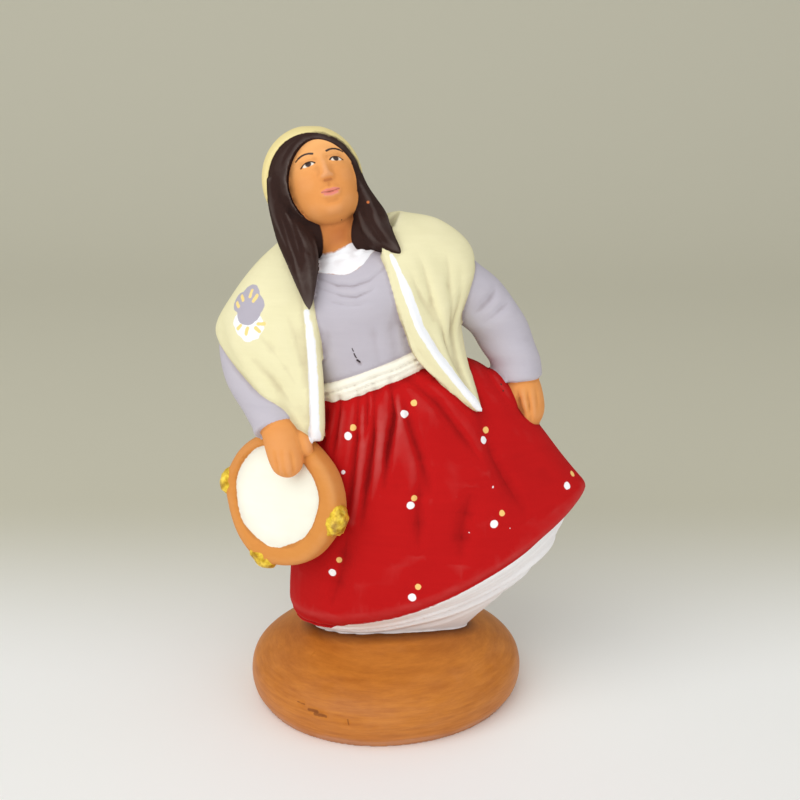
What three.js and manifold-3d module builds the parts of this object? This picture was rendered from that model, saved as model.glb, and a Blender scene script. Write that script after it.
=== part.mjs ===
// A santon: a small moulded and painted clay figure of a dancing woman with a tambourine.
// She stands on a round clay base, holds up a corner of her skirt with one hand and lets
// the tambourine hang from the other. Figure, tambourine and base are one fired piece.
// Millimetres, +Z up. The origin is the centre of the flat underside, and she faces -Y.
import * as THREE from "three";
import { mergeVertices } from "three/addons/utils/BufferGeometryUtils.js";
import Module from "manifold-3d";

const wasm = await Module();
wasm.setup();

// Driving dimensions
const FIGURE_HEIGHT = 78.2; // crown of the head above the top of the base
const BASE_RADIUS = 21.9; // at its widest
const BASE_FOOT_RADIUS = 20.4; // of the flat underside
const BASE_HEIGHT = 12; // at the top of the dome
const BASE_EDGE_HEIGHT = 8.2; // where the side wall turns over into the dome
const DRUM_RADIUS = 10.2;
const DRUM_DEPTH = 3.8;
const DRUM_RIM_WIDTH = 2.7;
const DRUM_SKIN_RECESS = 0.45;
const JINGLE_RADIUS = 2.4;
const JINGLE_PROUD = 1.6; // how far a jingle stands out of the rim
const SKIRT_HEM_STEP = 0.9; // from the skirt's hem back to the petticoat
const BELT_HEIGHT = 2.9;
const BELT_THICKNESS = 0.8;
const CUFF_STEP = 0.45; // from a sleeve's end back to the wrist

// The woman's pose, proportions and drapery are shares of her own height. They are written
// as millimetres on a woman 78.2 mm tall, with z measured up from the top of the base.
const MODELLED_HEIGHT = 78.2;
const unit = FIGURE_HEIGHT / MODELLED_HEIGHT;
const at = (x, y, z) => new THREE.Vector3(x * unit, y * unit, BASE_HEIGHT + z * unit);

const TURN = 2 * Math.PI;
const rad = THREE.MathUtils.degToRad;
const lerp = THREE.MathUtils.lerp;
const clamp = THREE.MathUtils.clamp;
const bell = (x, width) => Math.exp(-((x / width) ** 2));

const spots = (rows) => rows.map((row) => at(...row));

// A smooth curve through points, as a function of 0..1
function through(points) {
  const curve = new THREE.CatmullRomCurve3(points, false, "catmullrom", 0.5);
  return (t) => curve.getPoint(t);
}
// A smooth run of numbers in threes, such as two radii and a tilt
const sizesThrough = (rows) => through(rows.map((row) => new THREE.Vector3(...row)));

function solid(geometry, matrix = new THREE.Matrix4()) {
  const bare = (geometry.index ? geometry.toNonIndexed() : geometry.clone()).applyMatrix4(matrix);
  for (const name of ["normal", "uv"]) bare.deleteAttribute(name);
  const merged = mergeVertices(bare, 1e-4);
  const old = merged.index.array;
  const kept = [];
  for (let i = 0; i < old.length; i += 3) {
    const [a, b, c] = old.subarray(i, i + 3);
    if (a !== b && b !== c && c !== a) kept.push(a, b, c);
  }
  return new wasm.Manifold(
    new wasm.Mesh({
      numProp: 3,
      vertProperties: merged.attributes.position.array,
      triVerts: new Uint32Array(kept),
    }),
  );
}

// A closed skin over rings of points: ring(angle, t) for t = 0..1, with a flat cap at each end.
// Angles run anticlockwise seen against the direction in which t grows.
function skin(ring, around, along) {
  const points = [];
  for (let j = 0; j <= along; j++)
    for (let i = 0; i < around; i++) points.push(ring((TURN * i) / around, j / along));
  const faces = [];
  for (let j = 0; j < along; j++)
    for (let i = 0; i < around; i++) {
      const a = j * around + i;
      const b = j * around + ((i + 1) % around);
      faces.push(a, b, b + around, a, b + around, a + around);
    }
  for (const [first, flip] of [[0, true], [along * around, false]]) {
    const centre = new THREE.Vector3();
    for (let i = 0; i < around; i++) centre.addScaledVector(points[first + i], 1 / around);
    points.push(centre);
    for (let i = 0; i < around; i++) {
      const a = first + i;
      const b = first + ((i + 1) % around);
      faces.push(...(flip ? [b, a, points.length - 1] : [a, b, points.length - 1]));
    }
  }
  return new THREE.BufferGeometry().setFromPoints(points).setIndex(faces);
}

// A limb or lock of hair: an oval section swept along a curve. across is the first radius'
// direction at right angles to the curve and to depth.
function limb(points, radii, { around = 12, along = 8, ripple = () => 0 } = {}) {
  const path = through(spots(points));
  const size = sizesThrough(radii.map(([a, b]) => [a, b, 0]));
  const step = 1e-3;
  const ring = (angle, t) => {
    const ahead = path(Math.min(t + step, 1)).sub(path(Math.max(t - step, 0))).normalize();
    const across = new THREE.Vector3(0, 1, 0).cross(ahead).normalize();
    const depth = ahead.clone().cross(across);
    const { x: wide, y: deep } = size(t);
    const swell = 1 + ripple(angle, t);
    return path(t)
      .addScaledVector(across, wide * unit * swell * Math.cos(angle))
      .addScaledVector(depth, deep * unit * swell * Math.sin(angle));
  };
  return solid(skin(ring, around, along));
}

// An egg: a sphere scaled to three radii, placed and turned by a matrix
function egg(centre, radii, matrix, around = 16, rings = 10) {
  const place = new THREE.Matrix4()
    .makeTranslation(...centre.map((v) => v * unit))
    .multiply(new THREE.Matrix4().makeScale(...radii.map((v) => v * unit)));
  const ball = new THREE.SphereGeometry(1, around, rings).rotateX(Math.PI / 2);
  return solid(ball, matrix.clone().multiply(place));
}

// BASE: a thick disc with a bulging wall and a low dome, pressed a little out of round
function base() {
  const wobble = (angle) =>
    1 - 0.012 * Math.cos(angle) + 0.012 * Math.sin(2 * angle + 0.6) + 0.008 * Math.sin(3 * angle + 2);
  const dome = BASE_HEIGHT - BASE_EDGE_HEIGHT;
  const profile = through([
    [BASE_FOOT_RADIUS, 0],
    [BASE_RADIUS - 0.35, BASE_EDGE_HEIGHT * 0.22],
    [BASE_RADIUS, BASE_EDGE_HEIGHT * 0.5],
    [BASE_RADIUS - 0.7, BASE_EDGE_HEIGHT * 0.78],
    [BASE_RADIUS - 3.0, BASE_EDGE_HEIGHT],
    [BASE_RADIUS * 0.66, BASE_EDGE_HEIGHT + dome * 0.45],
    [BASE_RADIUS * 0.4, BASE_EDGE_HEIGHT + dome * 0.9],
    [BASE_RADIUS * 0.12, BASE_HEIGHT],
  ].map(([r, z]) => new THREE.Vector3(r, 0, z)));
  const ring = (angle, t) => {
    const { x: r, z } = profile(t);
    return new THREE.Vector3(r * wobble(angle) * Math.cos(angle), r * wobble(angle) * Math.sin(angle), z);
  };
  return solid(skin(ring, 40, 8));
}

// SKIRT: rings that run from the tilted waist to the hem. Each lies between a left end and
// a right end; the right end follows the ridge that her hand lifts.
const skirtLeft = through(
  spots([[-11.2, 0, 39.0], [-12.8, 0, 33.5], [-14.4, 0, 23], [-15.3, 0, 13], [-15.9, 0, 2.2]]),
);
const skirtRight = through(
  spots([[8.2, 0, 44.0], [15.2, -0.8, 42.2], [22.4, -1, 34.8], [28.1, -1, 27.4], [31.8, -1.6, 22.8]]),
);
// Depth in front of the ends' line, depth behind it, and how the ring sags between them
const skirtDepth = sizesThrough([
  [9.2, 7.8, 1],
  [10.6, 9.4, 1.15],
  [12.2, 11, 1.35],
  [13.2, 12, 1.55],
  [13.8, 12.6, 1.7],
]);
const RIDGE_PINCH = 0.4; // how much the cloth narrows towards the lifted ridge
const SKIRT_FULLNESS = 0.9; // below 1, the skirt's sides are squarer than an oval's

// Pleats: valleys that start at the waist, each with its angle there and at the hem, how far
// down the skirt it starts and ends, its depth and its width in degrees
const PLEATS = [
  { from: 228, to: 214, start: 0.0, end: 0.45, depth: 0.5, width: 6 },
  { from: 243, to: 228, start: 0.0, end: 0.7, depth: 0.55, width: 6 },
  { from: 256, to: 240, start: 0.0, end: 0.85, depth: 0.6, width: 6 },
  { from: 270, to: 252, start: 0.0, end: 0.8, depth: 0.8, width: 6 },
  { from: 284, to: 272, start: 0.02, end: 0.95, depth: 0.55, width: 7 },
  { from: 296, to: 296, start: 0.0, end: 0.75, depth: 0.5, width: 7 },
  { from: 316, to: 322, start: 0.1, end: 0.9, depth: 0.9, width: 9 },
  { from: 200, to: 190, start: 0.0, end: 0.9, depth: 0.6, width: 9 },
  { from: 165, to: 160, start: 0.0, end: 0.95, depth: 0.8, width: 9 },
  { from: 140, to: 132, start: 0.0, end: 0.9, depth: 0.7, width: 8 },
  { from: 116, to: 106, start: 0.0, end: 1.0, depth: 0.9, width: 9 },
  { from: 92, to: 80, start: 0.0, end: 0.9, depth: 0.8, width: 8 },
  { from: 66, to: 54, start: 0.0, end: 1.0, depth: 0.9, width: 9 },
  { from: 40, to: 30, start: 0.1, end: 0.9, depth: 0.6, width: 8 },
];
function pleatDepth(angle, t) {
  const degrees = THREE.MathUtils.radToDeg(angle);
  let depth = 0;
  for (const p of PLEATS) {
    const middle = lerp(p.from, p.to, t);
    const off = ((degrees - middle + 540) % 360) - 180;
    const fade = clamp((t - p.start) / 0.06 + 0.3, 0, 1) * clamp((p.end - t) / 0.3, 0, 1);
    depth += p.depth * fade * bell(off, p.width * (1 + 0.5 * t));
  }
  return depth * unit;
}
// A point of the skirt, moved in by inset
function skirtPoint(angle, t, inset) {
  const left = skirtLeft(t);
  const right = skirtRight(t);
  const { x: front, y: back, z: sag } = skirtDepth(t);
  const half = (right.x - left.x) / 2 - inset;
  const share = (1 + Math.cos(angle)) / 2;
  const bulge = Math.sign(Math.sin(angle)) * Math.abs(Math.sin(angle)) ** SKIRT_FULLNESS;
  const pinch = 1 - RIDGE_PINCH * t * share ** 4;
  const deep = (Math.sin(angle) < 0 ? front : back) * unit * pinch - inset;
  return new THREE.Vector3(
    (left.x + right.x) / 2 + half * Math.cos(angle),
    lerp(left.y, right.y, share) + deep * bulge,
    lerp(left.z, right.z, share ** sag),
  );
}
function skirt() {
  // The corner of cloth that runs up into her fist
  const bunch = limb(
    [[13.4, -1.2, 41.2], [16.4, -2.0, 39.8], [18.3, -2.6, 37.0], [20.0, -2.6, 33.8], [22.4, -1.8, 31.2]],
    [[1.4, 2.2], [1.7, 2.4], [1.7, 2.4], [1.5, 2.2], [0.8, 1.2]],
    { around: 10, along: 8 },
  );
  const cloth = solid(skin((angle, t) => skirtPoint(angle, 1 - t, pleatDepth(angle, 1 - t)), 54, 11));
  return cloth.add(bunch);
}

// PETTICOAT: from inside the hem down to the base, in long swags that run round it
const PETTICOAT_FOOT = { x: 0.8, y: 0, rx: 11.6, ry: 4.8, sink: 2.2 };
const HEM_OVERHANG = 2.2; // how much further the lifted corner of the hem stands out
const PETTICOAT_SWAGS = 4;
function petticoat() {
  const ring = (angle, t) => {
    const down = 1 - t;
    const corner = Math.max(0, Math.cos(angle)) ** 4;
    const top = skirtPoint(angle, 1, SKIRT_HEM_STEP + HEM_OVERHANG * unit * corner);
    top.z += 0.6 * unit;
    const foot = at(
      PETTICOAT_FOOT.x + PETTICOAT_FOOT.rx * Math.cos(angle),
      PETTICOAT_FOOT.y + PETTICOAT_FOOT.ry * Math.sin(angle),
      -PETTICOAT_FOOT.sink,
    );
    const swag = 1 - 0.03 * Math.sin(Math.PI * down) * (1 + Math.cos(TURN * PETTICOAT_SWAGS * down));
    const spot = top.clone().lerp(foot, down);
    // It bows out all round, and more under the lifted side
    const lifted = Math.max(0, Math.cos(angle)) ** 2;
    const bow = 1 + lerp(0.08 * Math.sin(Math.PI * down ** 0.55), 0.2 * Math.sin(Math.PI * down), lifted);
    const middle = at(PETTICOAT_FOOT.x, 0, 0);
    spot.x = middle.x + (spot.x - middle.x) * swag * bow;
    spot.y = middle.y + (spot.y - middle.y) * swag * bow;
    return spot;
  };
  return solid(skin(ring, 40, 7));
}

// BODICE: tilted rings from inside the skirt up to the neck, as centre, radii and side tilt
const bodiceSpine = through(spots([
  [-1.4, -0.2, 34],
  [-1.6, -0.3, 42],
  [-3.0, -0.4, 48],
  [-4.0, -0.6, 53.2],
  [-4.8, -0.6, 57.4],
  [-5.6, -0.4, 60],
  [-6.2, -0.3, 61.6],
]));
const bodiceSize = sizesThrough([
  [9.6, 8.4, 22],
  [9.6, 8.4, 22],
  [10.2, 9.0, 18],
  [10.8, 9.2, 16],
  [9.8, 7.6, 15],
  [6.2, 5.2, 15],
  [3.2, 3.2, 14],
]);
const square = (v) => Math.sign(v) * Math.abs(v) ** 0.85;
function bodicePoint(angle, t, swell = 0, lift = 0) {
  const { x: wide, y: deep, z: tilt } = bodiceSize(t);
  const slope = rad(tilt);
  const out = (wide * unit + swell) * square(Math.cos(angle));
  return bodiceSpine(t).add(
    new THREE.Vector3(
      out * Math.cos(slope) - lift * Math.sin(slope),
      (deep * unit + swell) * square(Math.sin(angle)),
      out * Math.sin(slope) + lift * Math.cos(slope),
    ),
  );
}
const bodice = () => solid(skin((angle, t) => bodicePoint(angle, t), 24, 9));

// BELT: a folded band round the waist
const BELT_PLACE = 0.175; // along the bodice's spine
function belt() {
  const ring = (angle, t) => {
    const lift = (t - 0.5) * BELT_HEIGHT;
    const crease = 0.3 * bell(t - 0.56, 0.08);
    const round = Math.sin(Math.PI * clamp(t, 0.02, 0.98)) ** 0.4;
    return bodicePoint(angle, BELT_PLACE, BELT_THICKNESS * (round - crease), lift);
  };
  return solid(skin(ring, 32, 6));
}

// SHAWL: a sheet drawn round the shoulders, from one front edge round her back to the other.
// Each column runs down from the neck, and the clay fills it in to the spine.
const SHAWL_COLUMNS = [
  [[-11.4, -5.0, 59.2], [-11.0, -8.2, 53.0], [-10.2, -9.2, 45.4], [-9.4, -9.8, 39.2], [-9.2, -10.2, 33.0]],
  [[-13.0, -3.4, 61.4], [-15.4, -7.0, 54.4], [-16.2, -9.0, 46.6], [-14.6, -9.8, 40.2], [-12.0, -10.4, 33.8]],
  [[-13.8, -1.0, 62.8], [-19.4, -4.4, 56.0], [-22.8, -6.2, 48.6], [-21.2, -7.2, 43.4], [-18.6, -7.8, 39.4]],
  [[-13.8, 1.4, 63.2], [-19.4, 0.8, 58.3], [-24.0, 1.2, 52.4], [-26.3, 1.4, 48.0], [-25.4, 1.2, 44.9]],
  [[-12.2, 4.4, 63.0], [-17.6, 6.4, 56.8], [-21.6, 7.6, 50.0], [-22.0, 8.4, 45.0], [-20.0, 9.0, 40.0]],
  [[-7.2, 6.6, 62.8], [-6.6, 8.8, 55.0], [-4.8, 9.8, 46.0], [-3.2, 11.2, 37.0], [-2.2, 13.0, 29.0]],
  [[-2.0, 5.6, 64.4], [3.6, 7.8, 59.6], [6.8, 8.8, 52.4], [8.2, 9.4, 45.0], [8.6, 10.2, 39.0]],
  [[1.8, 2.2, 65.8], [8.0, 2.0, 64.4], [12.4, 2.2, 59.8], [11.2, 2.0, 53.6], [9.8, 1.6, 48.4]],
  [[1.9, -1.6, 65.4], [8.4, -3.4, 62.4], [12.7, -3.8, 57.4], [11.0, -4.6, 48.4], [14.2, -8.0, 38.0]],
  [[0.9, -4.6, 63.6], [4.2, -7.8, 58.8], [7.0, -8.8, 52.2], [9.0, -9.0, 45.2], [14.1, -8.7, 37.6]],
  [[-0.4, -7.0, 61.6], [1.2, -9.2, 56.0], [3.1, -9.6, 49.4], [5.5, -9.3, 44.4], [13.8, -8.8, 37.2]],
].map((column) => through(spots(column)));
const shawlSpine = through(spots([[-5.6, 0, 62.5], [-4.6, 0, 55], [-3.2, 0, 46], [-2.0, 0, 38]]));

// Folds of the shawl: place across the sheet (0 to 1), its drift on the way down, depth, width
const SHAWL_FOLDS = [
  { place: 0.07, drift: 0.01, depth: 0.6, width: 0.022, start: 0.45 },
  { place: 0.15, drift: -0.03, depth: 0.7, width: 0.024, start: 0.4 },
  { place: 0.36, drift: 0.02, depth: 0.8, width: 0.026, start: 0.2 },
  { place: 0.47, drift: 0.01, depth: 0.9, width: 0.026, start: 0.15 },
  { place: 0.57, drift: -0.02, depth: 0.8, width: 0.026, start: 0.2 },
  { place: 0.83, drift: 0.02, depth: 0.7, width: 0.022, start: 0.15 },
  { place: 0.9, drift: 0.02, depth: 0.6, width: 0.02, start: 0.2 },
];
function shawlPoint(across, down) {
  const spot = through(SHAWL_COLUMNS.map((column) => column(down)))(across);
  let dent = 0;
  for (const f of SHAWL_FOLDS) {
    const fade = clamp((down - f.start) / 0.2, 0, 1) * clamp((1.15 - down) / 0.4, 0, 1);
    dent += f.depth * fade * bell(across - f.place - f.drift * down, f.width);
  }
  const inward = shawlSpine(down).sub(spot).normalize();
  return spot.addScaledVector(inward, dent * unit);
}
const SHAWL_EDGE_TURN = new THREE.Vector3(-0.3, 7, 0).multiplyScalar(unit); // back from each front edge
const SHAWL_FRONT_SHARE = 0.3; // of the sheet, in front of her at each side
function shawl() {
  const sheet = 46;
  const across = sheet + 2; // with the two turned-in ends
  const down = 8;
  const points = [];
  for (let j = 0; j <= down; j++) {
    points.push(shawlPoint(0, j / down).add(SHAWL_EDGE_TURN));
    for (let i = 0; i <= sheet; i++) points.push(shawlPoint(i / sheet, j / down));
    points.push(shawlPoint(1, j / down).add(SHAWL_EDGE_TURN));
  }
  const row = across + 1;
  const spine = points.length;
  for (let j = 0; j <= down; j++) points.push(shawlSpine(j / down));
  const faces = [];
  for (let j = 0; j < down; j++) {
    for (let i = 0; i < across; i++) {
      const a = j * row + i;
      faces.push(a, a + row + 1, a + row, a, a + 1, a + row + 1);
    }
    const [first, last] = [j * row, j * row + across];
    faces.push(first, spine + j + 1, spine + j, first, first + row, spine + j + 1);
    faces.push(last, spine + j, spine + j + 1, last, spine + j + 1, last + row);
  }
  // The neck and the underside close on the front edges' turned-in ends, then on the spine
  const front = Math.round(across * SHAWL_FRONT_SHARE);
  for (const [first, middle, flip] of [[0, spine, false], [down * row, spine + down, true]]) {
    const last = first + across;
    const close = (hub, a, b) => faces.push(...(flip ? [b, hub, a] : [a, hub, b]));
    for (let i = 1; i < front; i++) close(first, first + i, first + i + 1);
    close(middle, first, first + front);
    for (let i = front; i < across - front; i++) close(middle, first + i, first + i + 1);
    close(middle, last - front, last);
    for (let i = front; i > 1; i--) close(last, last - i, last - i + 1);
  }
  return solid(new THREE.BufferGeometry().setFromPoints(points).setIndex(faces));
}

// ARMS: sleeves that end in a small step at the wrist, and hands with fingers side by side
const sleeveFolds = (angle, t) => 0.035 * Math.sin(angle * 2 + t * 26) * Math.sin(Math.PI * t);
const fingers = (turns, shift) => (angle, t) =>
  0.07 * clamp(t * 2 - 0.7, 0, 1) * Math.cos(turns * angle + shift);

function drumArm() {
  const cuff = 3.5;
  const wrist = cuff - CUFF_STEP;
  const sleeve = limb(
    [[-11.5, 0.6, 55.6], [-18.2, 1.2, 50.8], [-21.6, 1.2, 45.4], [-19.6, -2.6, 40.2], [-15.5, -8.8, 35.0]],
    [[4.6, 4.6], [4.6, 4.8], [4.3, 4.6], [3.9, 4.1], [cuff, cuff]],
    { ripple: sleeveFolds },
  );
  const hand = limb(
    [
      [-17.6, -5.6, 38.0],
      [-15.9, -8.6, 35.6],
      [-15.1, -10.8, 33.2],
      [-14.4, -12.0, 30.8],
      [-13.8, -12.2, 28.3],
    ],
    [[wrist - 0.3, wrist - 0.3], [wrist - 0.2, wrist - 0.4], [3.15, 2.3], [2.9, 1.8], [1.7, 0.9]],
    { ripple: fingers(4, 0), around: 16, along: 9 },
  );
  const thumb = limb(
    [[-13.8, -9.4, 34], [-12.2, -10.8, 33.0], [-11.2, -11.4, 31.4]],
    [[1.3, 1.3], [1.2, 1.1], [0.7, 0.7]],
    { around: 8, along: 5 },
  );
  return sleeve.add(hand).add(thumb);
}
function skirtArm() {
  const cuff = 3.9;
  const wrist = cuff - CUFF_STEP;
  const sleeve = limb(
    [[4.6, 0.4, 60.0], [10.8, 0.8, 55.0], [15.8, 1.2, 50.4], [18.7, 0.9, 45.4], [20.1, 0, 40.8]],
    [[4.6, 4.8], [4.4, 4.6], [4.3, 4.4], [3.9, 4.0], [cuff, cuff]],
    { ripple: sleeveFolds },
  );
  const hand = limb(
    [[19.4, 0.2, 43], [20.3, -0.2, 40.6], [21.0, -0.6, 38.0], [21.6, -0.9, 35.0], [22.1, -1.1, 31.9]],
    [[wrist - 0.6, wrist - 0.6], [wrist - 0.7, wrist - 0.7], [2.9, 3.2], [2.6, 3.0], [1.4, 1.9]],
    { ripple: fingers(4, 0.4), around: 16, along: 9 },
  );
  return sleeve.add(hand);
}

// HEAD: its own frame sits at the middle of the skull, tipped back, turned and leaning
const HEAD_CENTRE = [-10.9, 0.5, 70.2];
const headFrame = new THREE.Matrix4()
  .makeTranslation(...at(...HEAD_CENTRE).toArray())
  .multiply(new THREE.Matrix4().makeRotationY(rad(-18)))
  .multiply(new THREE.Matrix4().makeRotationX(rad(-26)))
  .multiply(new THREE.Matrix4().makeRotationZ(rad(14)));

function face() {
  const mask = egg([1.1, -2.0, -1.1], [5.1, 5.6, 6.9], headFrame, 18, 12);
  const jaw = egg([1.3, -3.0, -4.9], [4.2, 3.9, 3.6], headFrame, 14, 8);
  const nose = egg([1.5, -7.3, -1.4], [0.8, 1.1, 1.6], headFrame, 8, 6);
  const lips = egg([1.5, -6.6, -4.2], [1.5, 0.75, 0.65], headFrame, 8, 4);
  const neck = limb(
    [[-6.0, -0.6, 57], [-6.9, -1.6, 62], [-8.4, -1.0, 67]],
    [[3.9, 4.0], [3.6, 4.0], [3.6, 4.0]],
    { along: 6 },
  );
  return [mask, jaw, nose, lips, neck].reduce((a, b) => a.add(b));
}
const collar = () =>
  limb(
    [[-5.2, -1.6, 56.8], [-5.9, -1.4, 59.4], [-6.5, -1.0, 61.3]],
    [[6.0, 6.4], [4.7, 5.0], [3.4, 3.5]],
    { around: 16, along: 4 },
  );

// HAIR: a cap with a window for the face, and a lock down in front of each shoulder
const combed = (turns) => (angle, t) => 0.06 * Math.cos(turns * angle + 3 * t);
function hair() {
  const cap = egg([0.4, -0.2, 0], [7.0, 7.4, 7.7], headFrame, 20, 13);
  const window = new THREE.CylinderGeometry(1, 1, 1, 20)
    .scale(5.3 * unit, 12 * unit, 6.6 * unit)
    .translate(1.0 * unit, -7.6 * unit, -1.7 * unit);
  const framed = cap.subtract(solid(window, headFrame));
  const long = limb(
    [
      [-16.1, -0.4, 70.5],
      [-15.5, -1.5, 67.0],
      [-13.6, -3.4, 63.4],
      [-12.2, -6.0, 60.4],
      [-11.5, -8.4, 57.2],
      [-10.9, -9.9, 53.6],
    ],
    [[1.3, 3.4], [1.7, 3.4], [2.6, 3.0], [2.5, 2.4], [1.7, 1.7], [0.5, 0.5]],
    { around: 10, along: 11, ripple: combed(5) },
  );
  const short = limb(
    [[-4.9, 0.4, 72.4], [-3.5, -0.6, 69.0], [-2.4, -2.4, 65.6], [-1.0, -4.8, 63.2], [1.9, -7.0, 61.2]],
    [[0.9, 3.0], [1.2, 3.2], [2.4, 2.8], [2.4, 2.2], [0.8, 0.8]],
    { around: 10, along: 9, ripple: combed(5) },
  );
  const back = egg([0, 2.6, -5.4], [6.4, 5.0, 6.4], headFrame, 14, 8);
  const onFigure = new THREE.Matrix4().makeTranslation(0, 0, BASE_HEIGHT);
  const underShort = egg([-3, -2.6, 62.5], [3, 3, 3.5], onFigure, 11, 7);
  return [long, short, back, underShort].reduce((a, b) => a.add(b), framed);
}

// KERCHIEF: tied over the crown, its tail hanging behind the neck
function kerchief() {
  const cloth = egg([0.2, 0.9, 0.5], [7.3, 7.6, 8.1], headFrame, 20, 13);
  const front = new THREE.BoxGeometry(40 * unit, 30 * unit, 40 * unit)
    .translate(0, -15 * unit, 0)
    .rotateX(rad(24))
    .translate(0, -1.6 * unit, 0);
  const over = cloth.subtract(solid(front, headFrame));
  const tail = limb(
    [[-10.0, 3.6, 72.5], [-8.4, 7.6, 65], [-7.2, 9.6, 58], [-6.6, 10.2, 52.5]],
    [[4.2, 2.2], [5.2, 1.9], [3.4, 1.2], [0.7, 0.5]],
    { around: 12, along: 6 },
  );
  return over.add(tail);
}

// TAMBOURINE: a shallow drum whose rim runs up into her hand, with jingles on the rim
const DRUM_GRIP = at(-14.8, -7.2, 32.2); // the rim's top, inside her hand
const JINGLE_ANGLES = [-8, -106, 175, 78];
function tambourine() {
  const turn = new THREE.Matrix4()
    .makeRotationZ(rad(-32))
    .multiply(new THREE.Matrix4().makeRotationX(rad(-8)));
  const up = new THREE.Vector3(0, 0, 1).applyMatrix4(turn);
  const centre = DRUM_GRIP.clone().addScaledVector(up, -(DRUM_RADIUS - DRUM_RIM_WIDTH / 2));
  const frame = new THREE.Matrix4().makeTranslation(...centre.toArray()).multiply(turn);
  const round = 0.7;
  const [front, behind] = [DRUM_DEPTH / 2, -DRUM_DEPTH / 2];
  const inner = DRUM_RADIUS - DRUM_RIM_WIDTH;
  const profile = [
    [0, behind],
    [DRUM_RADIUS - round, behind],
    [DRUM_RADIUS, behind + round],
    [DRUM_RADIUS, front - round],
    [DRUM_RADIUS - round * 0.4, front - round * 0.3],
    [DRUM_RADIUS - round * 1.2, front],
    [inner + 0.4, front - DRUM_SKIN_RECESS * 0.3],
    [inner, front - DRUM_SKIN_RECESS],
    [0, front - DRUM_SKIN_RECESS],
  ].map(([r, z]) => new THREE.Vector2(r, z));
  const drum = solid(new THREE.LatheGeometry(profile, 32).rotateX(Math.PI), frame);
  return JINGLE_ANGLES.map(rad)
    .map((angle) => {
      const reach = DRUM_RADIUS + JINGLE_PROUD - JINGLE_RADIUS * 0.6;
      const place = new THREE.Matrix4()
        .makeTranslation(reach * Math.cos(angle), -0.3, reach * Math.sin(angle))
        .multiply(new THREE.Matrix4().makeRotationY(-angle))
        .multiply(new THREE.Matrix4().makeScale(JINGLE_RADIUS * 0.6, JINGLE_RADIUS * 0.8, JINGLE_RADIUS));
      return solid(new THREE.SphereGeometry(1, 9, 6), frame.clone().multiply(place));
    })
    .reduce((a, b) => a.add(b), drum);
}

const pieces = [
  base, skirt, petticoat, bodice, belt, shawl, drumArm, skirtArm, face, collar, hair, kerchief, tambourine,
];
const joined = pieces.map((make) => make()).reduce((a, b) => a.add(b));
// The joins can leave a loose flake with no volume, which is no part of the clay
const FLAKE_VOLUME = 0.001;
const figure = joined
  .decompose()
  .filter((body) => body.volume() > FLAKE_VOLUME)
  .reduce((a, b) => a.add(b));

const mesh = figure.getMesh();
const geometry = new THREE.BufferGeometry()
  .setAttribute("position", new THREE.BufferAttribute(mesh.vertProperties, mesh.numProp))
  .setIndex(new THREE.BufferAttribute(mesh.triVerts, 1));
geometry.computeVertexNormals();
const clay = new THREE.MeshStandardMaterial({ color: 0xb7703a, roughness: 0.75, metalness: 0 });

const group = new THREE.Group();
const santon = new THREE.Mesh(geometry, clay);
santon.name = "santon_figure";
group.add(santon);

export default group;
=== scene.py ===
# A small moulded clay figure of a dancing woman with a tambourine, fired once and painted by hand.
# Shapes are written in millimetres, z up from the underside of her base, and made in metres.
import math
import bpy
import numpy as np
from mathutils import Matrix, Vector, noise
from mathutils.bvhtree import BVHTree


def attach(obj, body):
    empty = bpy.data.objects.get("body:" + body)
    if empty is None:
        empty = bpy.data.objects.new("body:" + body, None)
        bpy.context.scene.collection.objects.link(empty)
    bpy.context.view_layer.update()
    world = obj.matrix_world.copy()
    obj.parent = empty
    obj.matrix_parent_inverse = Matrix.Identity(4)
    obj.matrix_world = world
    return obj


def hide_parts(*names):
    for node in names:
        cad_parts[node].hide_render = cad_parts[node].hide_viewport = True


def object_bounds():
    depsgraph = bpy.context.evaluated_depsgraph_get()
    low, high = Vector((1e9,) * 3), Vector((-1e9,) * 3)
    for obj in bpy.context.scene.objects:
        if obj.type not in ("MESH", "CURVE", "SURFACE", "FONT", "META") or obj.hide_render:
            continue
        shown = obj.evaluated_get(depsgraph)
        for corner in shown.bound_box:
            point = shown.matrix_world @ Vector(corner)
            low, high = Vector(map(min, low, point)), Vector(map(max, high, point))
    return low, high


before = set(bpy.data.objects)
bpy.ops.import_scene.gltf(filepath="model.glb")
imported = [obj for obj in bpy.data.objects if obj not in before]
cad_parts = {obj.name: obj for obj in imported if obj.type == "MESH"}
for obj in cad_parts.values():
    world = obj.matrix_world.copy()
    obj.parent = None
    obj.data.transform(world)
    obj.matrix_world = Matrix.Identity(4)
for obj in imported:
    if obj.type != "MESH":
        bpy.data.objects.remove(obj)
cad_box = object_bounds()

# THE BASE: a thick disc of the figure's own clay, with a bulging wall and a low dome. It comes out
# of the mould a little out of round, and is painted ochre brown with a wide brush.
MM = 0.001
TURN = 2 * math.pi
BASE_TOP = 12.0
BASE_RADIUS = 21.9
BASE_FOOT_RADIUS = 20.4
BASE_EDGE = 8.2
BASE_DENTS = [
    ([(-13.4, -17.4, 5.8), (-12.1, -18.2, 5.8)], 0.35, 0.12),
    ([(-11.6, -18.7, 5.3), (-10.2, -19.5, 5.2), (-8.4, -20.2, 5)], 0.4, 0.25),
    ([(-5.6, -21, 5), (-5.5, -21.1, 4.2)], 0.3, 0.12),
]
forms = {}  # each form of wet clay, by name
scores = []  # creases pressed in after the forms are joined: path, width and depth
raised = []  # thick dabs and lines of paint, as marks of a negative depth


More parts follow.
